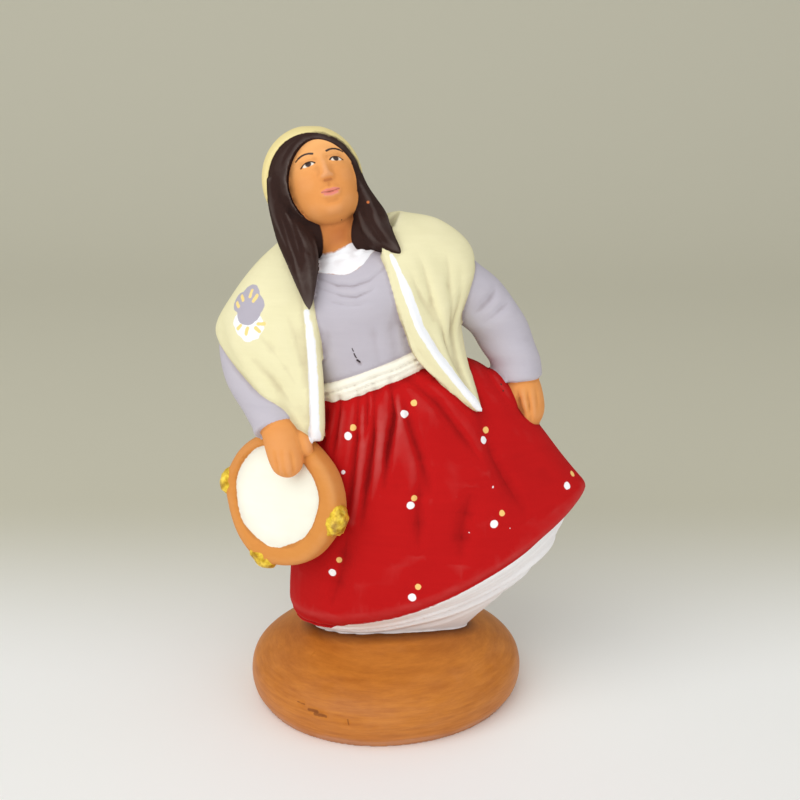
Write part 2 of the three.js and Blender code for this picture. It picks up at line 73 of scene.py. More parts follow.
def through(places):
    """A smooth curve through places, as a function of 0 to 1."""
    rows = np.array(places, float)
    rows = np.vstack([2 * rows[0] - rows[1], rows, 2 * rows[-1] - rows[-2]])
    last = len(places) - 1

    def curve(share):
        place = np.clip(np.asarray(share, float), 0, 1) * last
        i = np.minimum(place.astype(int), last - 1)
        w = (place - i)[..., None]
        return catmull(rows[i], rows[i + 1], rows[i + 2], rows[i + 3], w)

    return curve


def catmull(a, b, c, d, w):
    """A point between b and c, with a and d as their neighbours."""
    start, end = 0.5 * (c - a), 0.5 * (d - b)
    return b + start * w + (3 * (c - b) - 2 * start - end) * w**2 + (2 * (b - c) + start + end) * w**3


def standing(rows):
    """Points measured up from the top of the base."""
    return [(x, y, z + BASE_TOP) for x, y, z in rows]


def bell(x, width):
    return np.exp(-((x / width) ** 2))


def lerp(a, b, share):
    return a + (b - a) * share


def rising(x, start, run):
    """0 up to the start, 1 from the end of the run on, and straight between them."""
    return np.clip((x - start) / run, 0, 1)


def spots_at(x, y, z):
    return np.stack([x, y, z], axis=1)


def read(items, key):
    """The three numbers that each item of a mesh holds."""
    flat = np.empty(len(items) * 3)
    items.foreach_get(key, flat)
    return flat.reshape(-1, 3)


def spots_of(form):
    return read(form.data.vertices, "co") / MM


def set_spots(form, spots):
    form.data.vertices.foreach_set("co", (np.asarray(spots) * MM).ravel())
    form.data.update()


def ball(name, around, rings, radius):
    bpy.ops.object.select_all(action="DESELECT")
    bpy.ops.mesh.primitive_uv_sphere_add(segments=around, ring_count=rings, radius=radius)
    forms[name] = bpy.context.object
    forms[name].name = name
    return forms[name]


def mould(name, ring, around, along):
    """Draws a ball of clay out over rings of points: ring(turn, share) gives them."""
    form = ball(name, around, along + 2, MM)
    start = spots_of(form)
    turn = np.arctan2(start[:, 1], start[:, 0]) % TURN
    row = np.rint(np.arccos(np.clip(start[:, 2], -1, 1)) / math.pi * (along + 2)).astype(int)
    spots = ring(turn, np.clip((row - 1) / along, 0, 1))
    for pole, first in ((0, 1), (along + 2, along + 1)):
        spots[row == pole] = spots[row == first].mean(axis=0)
    set_spots(form, spots)


def out_of_round(turn):
    return 1 - 0.012 * np.cos(turn) + 0.012 * np.sin(2 * turn + 0.6) + 0.008 * np.sin(3 * turn + 2)


dome = BASE_TOP - BASE_EDGE
base_side = through([
    (BASE_FOOT_RADIUS, 0),
    (BASE_RADIUS - 0.35, BASE_EDGE * 0.22),
    (BASE_RADIUS, BASE_EDGE * 0.5),
    (BASE_RADIUS - 0.7, BASE_EDGE * 0.78),
    (BASE_RADIUS - 3, BASE_EDGE),
    (BASE_RADIUS * 0.66, BASE_EDGE + dome * 0.45),
    (BASE_RADIUS * 0.4, BASE_EDGE + dome * 0.9),
    (BASE_RADIUS * 0.12, BASE_TOP),
])


def base_ring(turn, share):
    radius, height = base_side(share).T
    radius = radius * out_of_round(turn)
    return spots_at(radius * np.cos(turn), radius * np.sin(turn), height)


mould("base", base_ring, 120, 48)
scores += BASE_DENTS

# THE SKIRT: one form of clay from the tilted waist down to the hem, pulled up and out to her left
# where her fist holds a corner of it. Its pleats start under the belt. Painted matte red.
skirt_left = through(standing([(-11.2, 0, 39), (-12.8, 0, 33.5), (-14.4, 0, 23), (-15.3, 0, 13), (-15.9, 0, 2.2)]))
skirt_right = through(standing([
    (8.2, 0, 44), (15.2, -0.8, 42.2), (22.4, -1, 34.8), (28.1, -1, 27.4), (32.5, -1.6, 22.4),
]))
skirt_depth = through([(9.2, 7.8, 1), (10.6, 9.4, 1.15), (12.2, 11, 1.35), (13.2, 12, 1.55), (13.8, 12.6, 1.7)])
RIDGE_PINCH = 0.4
SKIRT_FULLNESS = 0.9
HEM_ROUND = 0.9
CORNER_ROUND = 1.3
# Pleats: angle at the waist and at the hem, where each starts and ends, depth, width in degrees
PLEATS = [
    (228, 214, 0, 0.5, 0.5, 6), (243, 228, 0, 0.7, 0.5, 6), (256, 240, 0, 0.85, 0.6, 6),
    (270, 252, 0, 0.8, 0.7, 6), (284, 272, 0.02, 0.95, 0.6, 7), (296, 296, 0, 0.75, 0.5, 7),
    (316, 322, 0.1, 0.9, 0.9, 9), (200, 190, 0, 0.9, 0.6, 9), (165, 160, 0, 0.95, 0.8, 9),
    (140, 132, 0, 0.9, 0.7, 8), (116, 106, 0, 1, 0.9, 9), (92, 80, 0, 0.9, 0.8, 8),
    (66, 54, 0, 1, 0.9, 9), (40, 30, 0.1, 0.9, 0.6, 8),
]
SKIRT_SCORES = [
    ([(-8.7, -6.8, 52.4), (-9.2, -7, 48), (-9.9, -7.2, 42)], 0.6, 0.6),
    ([(-6.6, -7.8, 53), (-7.3, -8.2, 47.9), (-8.2, -8.6, 41)], 0.6, 0.75),
    ([(-3.9, -8.6, 54.4), (-4.4, -9.8, 45.3), (-5.6, -10.6, 37), (-6.6, -11, 30)], 0.7, 0.9),
    ([(-2.7, -8.9, 54), (-2.9, -9.9, 47.6), (-3.2, -10.2, 44.4)], 0.45, 0.5),
    ([(-1.4, -8.9, 55.4), (-2, -10.4, 45.5), (-2.6, -10.8, 40.9), (-3.9, -11.3, 31)], 0.7, 1.1),
    ([(0.8, -9, 55.6), (1.1, -10.4, 48.9), (0.4, -10.9, 44.1), (-0.4, -11.4, 37)], 0.65, 1.2),
    ([(1.6, -8.6, 55), (4.4, -8.9, 53.6), (7.8, -9.6, 50.8), (11.4, -10.2, 46), (15.4, -10.4, 40.4)], 0.9, 0.6),
    ([(1.9, -9.8, 54), (3.8, -10.9, 47.2), (5.1, -11.5, 43.5), (6.8, -12.2, 36.7)], 0.9, 0.7),
    ([(13.6, -7.8, 49.4), (16.6, -9.3, 41.9), (18.8, -9.6, 37.7), (21.6, -9.6, 32.4)], 1.6, 0.9),
    ([(5.6, -11.8, 42.2), (5, -12.8, 35.5), (4.8, -13.2, 28)], 1.4, 0.7),
    ([(-5.6, -11.1, 32.5), (-6.8, -10.9, 25.5), (-8.8, -10.2, 17.1)], 1.7, 0.9),
    ([(13, -11.7, 38.5), (11.8, -12.7, 33), (11, -13.2, 26.5)], 1.8, 0.8),
    ([(-12.4, -4.8, 38), (-12.8, -5.4, 30), (-13.2, -5.8, 22)], 1.2, 0.4),
    ([(19.8, -8.6, 46.5), (24, -7.8, 41), (27.4, -6.8, 36)], 1.5, 0.5),
]


def pleats(turn, share):
    degrees = np.degrees(turn)
    depth = 0
    for first, last, start, end, deep, width in PLEATS:
        off = (degrees - lerp(first, last, share) + 540) % 360 - 180
        fade = np.clip((share - start) / 0.06 + 0.3, 0, 1) * rising(-share, -end, 0.3)
        depth = depth + deep * fade * bell(off, width * (1 + 0.5 * share))
    return depth


def skirt_spot(turn, share, inset):
    left, right, deep = skirt_left(share), skirt_right(share), skirt_depth(share)
    side = (1 + np.cos(turn)) / 2
    half = (right[:, 0] - left[:, 0]) / 2 - inset
    pinch = 1 - RIDGE_PINCH * share * side**4
    bulge = np.sign(np.sin(turn)) * np.abs(np.sin(turn)) ** SKIRT_FULLNESS
    out = np.where(np.sin(turn) < 0, deep[:, 0], deep[:, 1]) * pinch - inset
    return spots_at(
        (left[:, 0] + right[:, 0]) / 2 + half * np.cos(turn),
        lerp(left[:, 1], right[:, 1], side) + out * bulge,
        lerp(left[:, 2], right[:, 2], side ** deep[:, 2]),
    )


def skirt_ring(turn, share):
    hem = HEM_ROUND * rising(share, 0.955, 0.045) ** 2
    corner = CORNER_ROUND * np.maximum(0, np.cos(turn)) ** 10 * rising(share, 0.9, 0.1) ** 2.5
    return skirt_spot(turn, share, pleats(turn, share) + (hem + corner))


def roll(name, spine, sizes, around=28, along=40, ripple=None, tip=0):
    """A roll of clay with an oval section; tip is the share of its length that its end rounds over."""
    path, size = through(standing(spine)), through(sizes)

    def ring(turn, share):
        ahead = path(np.minimum(share + 0.001, 1)) - path(np.maximum(share - 0.001, 0))
        ahead /= np.linalg.norm(ahead, axis=1)[:, None]
        across = np.cross((0, 1, 0), ahead)
        across /= np.linalg.norm(across, axis=1)[:, None]
        deep = np.cross(ahead, across)
        swell = 1 + (ripple(turn, share) if ripple else np.zeros_like(turn))
        if tip:
            swell = swell * np.sqrt(np.clip(1 - np.clip((share - 1 + tip) / tip, 0, 0.985) ** 2, 0, 1))
        wide = size(share) * swell[:, None]
        return path(share) + across * (wide[:, :1] * np.cos(turn)[:, None]) + deep * (
            wide[:, 1:] * np.sin(turn)[:, None]
        )

    return mould(name, ring, around, along)


mould("skirt", skirt_ring, 260, 90)
roll(
    "skirt_bunch",
    [(13.4, -1.2, 41.2), (16.4, -2, 39.8), (18.3, -2.6, 37), (20, -2.6, 33.8), (22.4, -1.8, 31.2)],
    [(1.4, 2.2), (1.7, 2.4), (1.7, 2.4), (1.5, 2.2), (0.8, 1.2)],
)
scores += SKIRT_SCORES

# THE PETTICOAT: the clay between the hem and the base, modelled as a second skirt whose fine folds
# fan out from her right foot to the lifted side. Painted white.
PETTICOAT_STEP = 0.9
PETTICOAT_FOOT = (0.8, 0, 11.6, 4.8, 2.2)
HEM_OVERHANG = 2.8
PETTICOAT_SWAGS, SWAG_DEPTH = 4, 0.03
# Fine folds: how many, how deep, and how far they drift round
PETTICOAT_FOLDS = ((5.5, 0.026, 2), (11, 0.016, 4))
FRONT_BOW, LIFTED_BOW = 0.08, 0.2


def petticoat_ring(turn, share):
    lifted = np.maximum(0, np.cos(turn))
    top = skirt_spot(turn, np.ones_like(turn), PETTICOAT_STEP + HEM_OVERHANG * lifted**4)
    top[:, 2] += 0.6
    x, y, wide, deep, sink = PETTICOAT_FOOT
    foot = spots_at(x + wide * np.cos(turn), y + deep * np.sin(turn), np.full_like(turn, BASE_TOP - sink))
    spot = lerp(top, foot, share[:, None])
    drift = 0.5 * np.sin(turn * 2 + 1) + 0.25 * np.sin(turn * 7)
    calmer = np.sin(math.pi * share) * (1 - 0.75 * lifted**2)
    fold = sum(depth * np.sin(TURN * number * share + drift * far) for number, depth, far in PETTICOAT_FOLDS)
    swag = 1 - SWAG_DEPTH * calmer * (1 + np.cos(TURN * PETTICOAT_SWAGS * share)) + fold * calmer
    bow = 1 + lerp(FRONT_BOW * np.sin(math.pi * share**0.55), LIFTED_BOW * np.sin(math.pi * share), lifted**2)
    middle = np.array([x, 0])
    spot[:, :2] = middle + (spot[:, :2] - middle) * (swag * bow)[:, None]
    return spot


mould("petticoat", petticoat_ring, 220, 60)

# THE BLOUSE: her upper body, leaning to one side over the waist, with shallow creases across the
# chest. Painted lilac grey, like the sleeves.
blouse_spine = through(standing([
    (-1.4, -0.2, 34), (-1.6, -0.3, 42), (-3, -0.4, 48), (-4, -0.6, 53.2), (-4.8, -0.6, 57.4),
    (-5.6, -0.4, 60), (-6.2, -0.3, 61.6),
]))
blouse_size = through([
    (9.6, 8.4, 22), (9.6, 8.4, 22), (10.2, 9, 18), (10.8, 9.2, 16), (9.8, 7.6, 15), (6.2, 5.2, 15), (3.2, 3.2, 14),
])
BLOUSE_SCORES = [
    ([(-10.6, -6.6, 69.4), (-9.2, -7, 68.9), (-6.9, -8.3, 68.3), (-4.6, -8.7, 68.3), (-2.3, -8.5, 69),
      (-0.7, -7.8, 70.2), (0.2, -7.2, 71.4)], 0.35, 0.42),
    ([(-10, -7.4, 68), (-8.5, -8.1, 67.5), (-6.2, -9, 66.9), (-4.2, -9.4, 66.8), (-2, -9.1, 67.7), (-0.6, -8.4, 68.9)],
     0.32, 0.34),
    ([(-9, -8.5, 66.5), (-7.5, -9.1, 66), (-5.5, -9.4, 65.6), (-3.6, -9.6, 65.7), (-1.6, -9.3, 66.3)], 0.35, 0.22),
    ([(0.9, -9, 66), (1, -9, 61.6), (1.6, -8.6, 56)], 1, 0.2),
    ([(-2.2, -9.5, 64), (-1.6, -9.4, 60.8), (-1, -9, 56.2)], 0.9, 0.12),
    ([(-7.9, -9.1, 64), (-8.4, -8.9, 60), (-8.8, -8, 55.6)], 1, 0.16),
]
BLOUSE_CHIP = [((-4, -8.9, 57.15), (-3.7, -8.9, 56.8)), 0.3, 0.3]


def squared(wave):
    return np.sign(wave) * np.abs(wave) ** 0.85


def blouse_spot(turn, share, swell=0, lift=0):
    wide, deep, tilt = blouse_size(share).T
    slope = np.radians(tilt)
    out = (wide + swell) * squared(np.cos(turn))
    return blouse_spine(share) + spots_at(
        out * np.cos(slope) - lift * np.sin(slope),
        (deep + swell) * squared(np.sin(turn)),
        out * np.sin(slope) + lift * np.cos(slope),
    )


mould("blouse", blouse_spot, 120, 60)
scores += BLOUSE_SCORES
raised.append(BLOUSE_CHIP)

# THE BELT: a band folded lengthwise and drawn round her waist, so that it lies as two or three
# strands. Painted in a white that turns to cream.
BELT_PLACE = 0.175
BELT_HEIGHT = 2.9
BELT_THICKNESS = 0.8
# Creases between the strands: place up the band, depth, width
UPPER_CREASE, LOWER_CREASE = (0.56, 0.75, 0.09), (0.27, 0.6, 0.07)
LOWER_CREASE_MIDDLE = math.radians(305)


def belt_ring(turn, share):
    lift = (share - 0.5) * BELT_HEIGHT
    place = np.full_like(share, BELT_PLACE)
    wander = 0.05 * np.sin(turn * 3 + 0.5) + 0.02 * np.sin(turn * 11)
    crease = 0
    there = np.clip(np.cos(turn - LOWER_CREASE_MIDDLE) * 1.6, 0, 1)
    for (height, depth, width), amount in ((UPPER_CREASE, 1), (LOWER_CREASE, there)):
        crease = crease + depth * amount * bell(share - height - wander, width)
    crease = crease + 0.06 * np.sin(turn * 17 + share * 5) * bell(share - 0.5, 0.3)
    wall = np.sin(math.pi * np.clip(share, 0.02, 0.98)) ** 0.4
    return blouse_spot(turn, place, BELT_THICKNESS * (wall - crease), lift)


mould("belt", belt_ring, 260, 28)

# THE SHAWL: a sheet of clay laid round her shoulders, filled in behind. It comes down over her
# right arm, falls to a point at her back and to a narrow end in front of the lifted skirt.
# It is painted pale yellow, its front edges are trimmed in white, and a patch of two scraps with
# yellow stitches is painted on it.
shawl_columns = [
    through(standing(column))
    for column in [
        [(-11.4, -5, 59.2), (-11, -8.2, 53), (-10.2, -9.2, 45.4), (-9.4, -9.8, 39.2), (-9.2, -10.2, 33)],
        [(-13, -3.4, 61.4), (-15.4, -7, 54.4), (-16.2, -9, 46.6), (-14.6, -9.8, 40.2), (-12, -10.4, 33.8)],
        [(-13.8, -1, 62.8), (-19.4, -4.4, 56), (-22.8, -6.2, 48.6), (-21.2, -7.2, 43.4), (-18.6, -7.8, 39.4)],
        [(-13.8, 1.4, 63.2), (-19.4, 0.8, 58.3), (-24, 1.2, 52.4), (-26.3, 1.4, 48), (-25.4, 1.2, 44.9)],
        [(-12.2, 4.4, 63), (-17.6, 6.4, 56.8), (-21.6, 7.6, 50), (-22, 8.4, 45), (-20, 9, 40)],
        [(-7.2, 6.6, 62.8), (-6.6, 8.8, 55), (-4.8, 9.8, 46), (-3.2, 11.2, 37), (-2.2, 13, 29)],
        [(-2, 5.6, 64.4), (3.6, 7.8, 59.6), (6.8, 8.8, 52.4), (8.2, 9.4, 45), (8.6, 10.2, 39)],
        [(1.8, 2.2, 65.8), (8, 2, 64.4), (12.4, 2.2, 59.8), (11.2, 2, 53.6), (9.8, 1.6, 48.4)],
        [(1.9, -1.6, 65.4), (8.4, -3.4, 62.4), (12.7, -3.8, 57.4), (11, -4.6, 48.4), (14.2, -8, 38)],
        [(0.9, -4.6, 63.6), (4.2, -7.8, 58.8), (7, -8.8, 52.2), (9, -9, 45.2), (14.1, -8.7, 37.6)],
        [(-0.4, -7, 61.6), (1.2, -9.2, 56), (3.1, -9.6, 49.4), (5.5, -9.3, 44.4), (13.8, -8.8, 37.2)],
    ]
]
shawl_spine = through(standing([(-5.6, 0, 62.5), (-4.6, 0, 55), (-3.2, 0, 46), (-2, 0, 38)]))
# Folds: place across the sheet, its drift on the way down, depth, width, where it starts
SHAWL_FOLDS = [
    (0.07, 0.01, 0.3, 0.022, 0.45), (0.15, -0.03, 0.35, 0.024, 0.4), (0.36, 0.02, 0.6, 0.032, 0.2),
    (0.47, 0.01, 0.65, 0.032, 0.15), (0.57, -0.02, 0.6, 0.032, 0.2), (0.83, 0.02, 0.4, 0.022, 0.15),
    (0.9, 0.02, 0.35, 0.02, 0.2),
]
SHAWL_EDGE_TURN = np.array([-0.3, 7, 0])
SHAWL_FRONT_SHARE = 0.3
SHAWL_CLOSE = 0.02
SHEET_SHARE = 0.88
SHAWL_HEM = 0.03
SHAWL_TO_SPINE, SHAWL_FROM_SPINE = 0.045, 0.04
SHAWL_SCORES = [
    ([(-19.6, -7.4, 61.6), (-17.2, -8.5, 59.4), (-15, -9.2, 56.6), (-12.6, -9.7, 52.6)], 1.6, 0.4),
    ([(-23.8, -5, 60.9), (-20.6, -7.4, 57.9), (-17, -9, 54.6), (-13.4, -9.8, 50.2), (-12, -10, 47.6)], 1.5, 0.5),
    ([(-14.9, -7.6, 65.2), (-13.2, -8.7, 60.9), (-12.2, -9.3, 56.7), (-12, -9.8, 52)], 1.2, 0.35),
    ([(4.6, -6, 73.5), (5.6, -7.3, 70.5), (7, -8.2, 65.4), (9.6, -7.8, 59.1), (12.3, -8.2, 52.3)], 0.8, 0.7),
    ([(8.9, -4.4, 72.6), (9.3, -6.2, 67.8), (10, -6.3, 61.6), (11.2, -7.3, 55.4), (12.6, -8, 52)], 0.7, 0.6),
    ([(11.2, -4.2, 71), (10.9, -5.2, 66), (10.4, -5.9, 61.2), (10.9, -6.5, 57)], 0.6, 0.5),
    ([(2.6, -7.2, 72.4), (4.3, -8.3, 68.4), (7.1, -8.5, 63.3), (9.9, -7.2, 58.3)], 0.7, 0.35),
]
TRIM_THICK = 0.14
# The white trims: path, width at its start and width from a fifth of the way on
TRIMS = [
    ([(-11.3, -8.3, 64.3), (-10.9, -8.7, 61.8), (-10.7, -9.3, 58.1), (-10.5, -10, 52.6), (-10.5, -10.6, 47),
      (-10.4, -10.7, 45.9)], 1.3, 1.5),
    ([(-10.6, -10.5, 46.8), (-10.4, -10.7, 45.9)], 1.9, 1.9),
    ([(0.9, -7.4, 72.6), (3.3, -9.2, 67.2), (5.1, -9.7, 62.3), (7.4, -9.3, 58.4), (10.9, -9, 53.8),
      (14.2, -8.6, 49.7)], 0.7, 1.35),
]


def shawl_sheet(across, down):
    """Points of the sheet: across runs from one front edge round her back to the other."""
    posts = np.stack([column(down) for column in shawl_columns], axis=1)
    posts = np.concatenate([
        2 * posts[:, :1] - posts[:, 1:2], posts, 2 * posts[:, -1:] - posts[:, -2:-1],
    ], axis=1)
    place = across * (len(shawl_columns) - 1)
    i = np.minimum(place.astype(int), len(shawl_columns) - 2)
    each = np.arange(len(across))
    spot = catmull(posts[each, i], posts[each, i + 1], posts[each, i + 2], posts[each, i + 3], (place - i)[:, None])
    dent = 0
    for where, drift, depth, width, start in SHAWL_FOLDS:
        fade = rising(down, start, 0.2) * rising(-down, -1.15, 0.4)
        dent = dent + depth * fade * bell(across - where - drift * down, width)
    inward = shawl_spine(down) - spot
    inward /= np.linalg.norm(inward, axis=1)[:, None]
    return spot + inward * dent[:, None]


def shawl_ring(turn, share):
    """A ring runs along the sheet, turns in at each front edge, and comes back by the spine."""
    lap = turn / TURN
    down = rising(share, SHAWL_CLOSE, 1 - 2 * SHAWL_CLOSE)
    across = rising(lap, SHAWL_HEM, SHEET_SHARE - SHAWL_HEM)
    spot = shawl_sheet(across, down)
    turned = np.maximum(rising(-lap, -SHAWL_HEM, SHAWL_HEM), rising(lap, SHEET_SHARE, SHAWL_HEM))
    spot += SHAWL_EDGE_TURN * turned[:, None]
    home = rising(lap, SHEET_SHARE + SHAWL_HEM, SHAWL_TO_SPINE)[:, None]
    back = rising(lap, 1 - SHAWL_FROM_SPINE, SHAWL_FROM_SPINE)[:, None]
    spine = shawl_spine(down)
    start = shawl_sheet(np.zeros_like(lap), down) + SHAWL_EDGE_TURN
    end = shawl_sheet(np.ones_like(lap), down) + SHAWL_EDGE_TURN
    spot = np.where(home > 0, lerp(spot, spine, home), spot)
    spot = np.where(back > 0, lerp(spine, start, back), spot)
    # Above and below, the front parts close on their own turned-in edge and the rest on the spine
    closing = np.clip(np.maximum(SHAWL_CLOSE - share, share - 1 + SHAWL_CLOSE) / SHAWL_CLOSE, 0, 1)[:, None]
    near_start, near_end = (across < SHAWL_FRONT_SHARE)[:, None], (across > 1 - SHAWL_FRONT_SHARE)[:, None]
    shut_on = np.where(near_start, start, np.where(near_end, end, spine))
    return lerp(spot, shut_on, closing)


mould("shawl", shawl_ring, 300, 90)
# Each front edge is rolled into a bead, which carries the white trim
roll(
    "shawl_bead_right",
    [(-11.6, -6, 57), (-11, -7.7, 52.4), (-10.5, -8.5, 46), (-10.2, -9.1, 40.6), (-10.1, -9.6, 35.6),
     (-10.3, -9.6, 33.2)],
    [(0.7, 0.8), (1, 1.1), (1.15, 1.2), (1.15, 1.2), (1.15, 1.2), (1, 1)],
    around=40, along=90, tip=0.05,
)
roll(
    "shawl_bead_left",
    [(0.2, -6.2, 60.8), (2.3, -8.1, 55.2), (4.2, -8.7, 50.3), (6.5, -8.5, 46.3), (10.1, -8.3, 41.8),
     (13.9, -8.2, 37.6)],
    [(0.8, 0.9), (1.3, 1.2), (1.35, 1.2), (1.3, 1.2), (1.1, 1), (0.6, 0.7)],
    around=40, along=90, tip=0.05,
)
scores += SHAWL_SCORES
raised += [(path, 0.5, -TRIM_THICK) for path, _, _ in TRIMS]

# THE ARMS: sleeves that end in a small step at the wrist. Her right hand holds the tambourine by
# its rim, and her left fist holds up the corner of the skirt. Fingers lie side by side.
CUFF_STEP = 0.45
DRUM_CUFF = 3.5
SKIRT_CUFF = 3.9
ARM_SCORES = [
    ([(17, -1.2, 67), (15.6, -2.8, 65), (13, -3.4, 62.6)], 0.8, 0.5),
    ([(19.2, -0.8, 64.8), (17.2, -2.8, 63.5), (14, -3.2, 61)], 0.8, 0.4),
    ([(-15.2, -13.3, 45.2), (-14.8, -13.6, 42), (-14.4, -13.4, 40.2)], 0.32, 0.4),
    ([(-16.3, -12.9, 45), (-15.9, -13.4, 42.9), (-15.6, -13.1, 40.6)], 0.3, 0.32),
    ([(-13.9, -13.3, 45), (-13.5, -13.5, 41.8), (-13.4, -13.4, 40.6)], 0.3, 0.34),
    ([(20, -3.4, 51.6), (20.6, -3.9, 48.6), (21.6, -4, 46.2)], 0.35, 0.55),
    ([(21.5, -3.4, 51.8), (22, -3.9, 48.7), (22.3, -3.8, 46.2)], 0.35, 0.55),
    ([(22.8, -2.4, 51.8), (23.1, -3, 49.1), (23, -3.2, 46.8)], 0.35, 0.5),
]


def sleeve_folds(turn, share):
    return 0.03 * np.sin(turn * 2 + share * 26) * np.sin(math.pi * share)


def fingers(count, shift):
    return lambda turn, share: 0.035 * np.clip(share * 2 - 0.7, 0, 1) * np.cos(count * turn + shift)


roll(
    "drum_sleeve",
    [(-11.5, 0.6, 55.6), (-18.2, 1.2, 50.8), (-21.6, 1.2, 45.4), (-20, -2.4, 40.4), (-17.2, -6.6, 36.6),
     (-16.3, -8.2, 34.5)],
    [(4.6, 4.6), (4.6, 4.8), (4.3, 4.6), (4, 4.1), (3.6, 3.7), (DRUM_CUFF, DRUM_CUFF)],
    around=60, along=70, ripple=sleeve_folds,
)
drum_wrist = DRUM_CUFF - CUFF_STEP
roll(
    "drum_hand",
    [(-17, -6.6, 37), (-16, -8.8, 34.8), (-15.2, -10.9, 32.8), (-14.6, -12, 30.7), (-14.1, -12.2, 28.3)],
    [(drum_wrist - 0.3, drum_wrist - 0.3), (drum_wrist - 0.4, drum_wrist - 0.4), (2.65, 2.3), (2.4, 1.9), (1.7, 1.4)],
    around=60, along=70, ripple=fingers(4, 0), tip=0.16,
)
roll(
    "drum_thumb",
    [(-13.8, -9.4, 34), (-12.2, -10.8, 33), (-11.2, -11.4, 31.4)],
    [(1.3, 1.3), (1.2, 1.1), (0.8, 0.8)],
    tip=0.3,
)
roll(
    "skirt_sleeve",
    [(4.6, 0.4, 60), (10.8, 0.8, 55), (15.8, 1.2, 50.4), (18.9, 0.9, 45.4), (20.2, 0.4, 42), (20.4, 0.2, 40.2)],
    [(4.6, 4.8), (4.4, 4.6), (4.3, 4.4), (3.9, 4), (3.8, 3.9), (SKIRT_CUFF, SKIRT_CUFF)],
    around=60, along=70, ripple=sleeve_folds,
)
skirt_wrist = SKIRT_CUFF - CUFF_STEP
roll(
    "skirt_hand",
    [(19.8, 0.2, 43), (20.4, -0.2, 40.6), (21.2, -0.6, 38), (21.9, -0.9, 35), (21.9, -1.1, 31.6)],
    [(skirt_wrist - 0.6, skirt_wrist - 0.6), (skirt_wrist - 0.6, skirt_wrist - 0.7), (3, 3.2), (2.7, 3.1), (1.8, 2.4)],
    around=60, along=70, ripple=fingers(4, 0.4), tip=0.28,
)
scores += ARM_SCORES

# THE HEAD: tipped back, turned and leaning towards her right shoulder. The face is a plain, calm
# one of this model's own, with the eyes at half the head's height.
HEAD_CENTRE = (-10.9, 0.5, 70.2 + BASE_TOP)
head = (
    Matrix.Translation(HEAD_CENTRE)
    @ Matrix.Rotation(math.radians(-18), 4, "Y")
    @ Matrix.Rotation(math.radians(-26), 4, "X")
    @ Matrix.Rotation(math.radians(14), 4, "Z")
)
MASK_CENTRE, MASK_RADII = (1.1, -2, -1.1), (5.1, 5.6, 6.9)
JAW_CENTRE, JAW_RADII = (1.3, -3, -4.6), (4.1, 3.9, 3.4)
FACE_MIDDLE = 1.25
EYE_APART, EYE_HALF = 2.05, 0.5
EYE_HEIGHT = 0
BROW_HEIGHT = 1.5
NOSE_BASE = -3.0
MOUTH_HEIGHT = -4.7


def pat(name, centre, radii, matrix=head, around=40, rings=26):
    """A ball of clay patted to three radii and set in place."""
    form = ball(name, around, rings, 1)
    form.data.transform(Matrix.Scale(MM, 4) @ matrix @ Matrix.Translation(centre) @ Matrix.Diagonal((*radii, 1)))
    return form


def on_face(height, *points):
    """Points of the mask or jaw, each by x from the face's middle and z from a height, in the head's frame."""
    path = []
    for x, z in points:
        x, z, front = x + FACE_MIDDLE, z + height, 0.0
        for centre, radii in ((MASK_CENTRE, MASK_RADII), (JAW_CENTRE, JAW_RADII)):
            rest = 1 - ((x - centre[0]) / radii[0]) ** 2 - ((z - centre[2]) / radii[2]) ** 2
            front = min(front, centre[1] - radii[1] * math.sqrt(max(rest, 0)))
        path.append(tuple(head @ Vector((x, front, z))))
    return path


pat("mask", MASK_CENTRE, MASK_RADII, around=72, rings=48)
pat("jaw", JAW_CENTRE, JAW_RADII, around=56, rings=36)
# The features are drawn out of the clay and pressed into it: path, width, and depth inwards
FEATURES = [
    (on_face(NOSE_BASE, (0, 3.7), (0, 0.8)), 0.6, -0.12),
    (on_face(NOSE_BASE, (0, 2.6), (0, 0.8)), 0.55, -0.2),
    (on_face(NOSE_BASE, (0, 1.6), (0, 0.75)), 0.6, -0.26),
    (on_face(NOSE_BASE, (0, 0.75), (0, 0.6)), 0.7, -0.36),
    (on_face(NOSE_BASE, (-0.5, -0.05), (0.5, -0.05)), 0.3, 0.16),
    (on_face(NOSE_BASE, (0, -0.45), (0, -0.9)), 0.25, 0.1),
    (on_face(MOUTH_HEIGHT, (-1.2, 0.05), (-0.4, 0.36), (0.4, 0.36), (1.2, 0.05)), 0.36, -0.3),
    (on_face(MOUTH_HEIGHT, (-0.85, -0.36), (0, -0.52), (0.85, -0.36)), 0.42, -0.34),
    (on_face(MOUTH_HEIGHT, (-1.2, 0), (1.2, 0)), 0.2, 0.26),
    (on_face(MOUTH_HEIGHT, (-0.6, -1.4), (0.6, -1.4)), 0.55, 0.16),
    (on_face(MOUTH_HEIGHT, (-0.4, -2.3), (0.4, -2.3)), 1.1, -0.3),
]
for s in (-1, 1):
    FEATURES += [
        (on_face(EYE_HEIGHT, (s * 1.2, 0.6), (s * 2.9, 0.5)), 0.8, 0.3),
        (on_face(EYE_HEIGHT, (s * (EYE_APART - EYE_HALF), 0), (s * (EYE_APART + EYE_HALF), 0)), 0.6, -0.24),
        (on_face(BROW_HEIGHT, (s, 0), (s * 3, -0.1)), 0.6, -0.14),
        (on_face(EYE_HEIGHT, (s * 1.3, -1), (s * 2.8, -1.1)), 0.5, 0.08),
        (on_face(EYE_HEIGHT, (s * 2.8, -2.9), (s * 3, -2.6)), 1.7, -0.3),
        (on_face(NOSE_BASE, (s * 0.66, 0.4), (s * 0.72, 0.5)), 0.36, -0.3),
    ]
roll("neck", [(-6, -0.6, 57), (-6.9, -1.6, 62), (-8.4, -1, 67)], [(3.9, 4), (3.6, 4), (3.6, 4)], around=48)
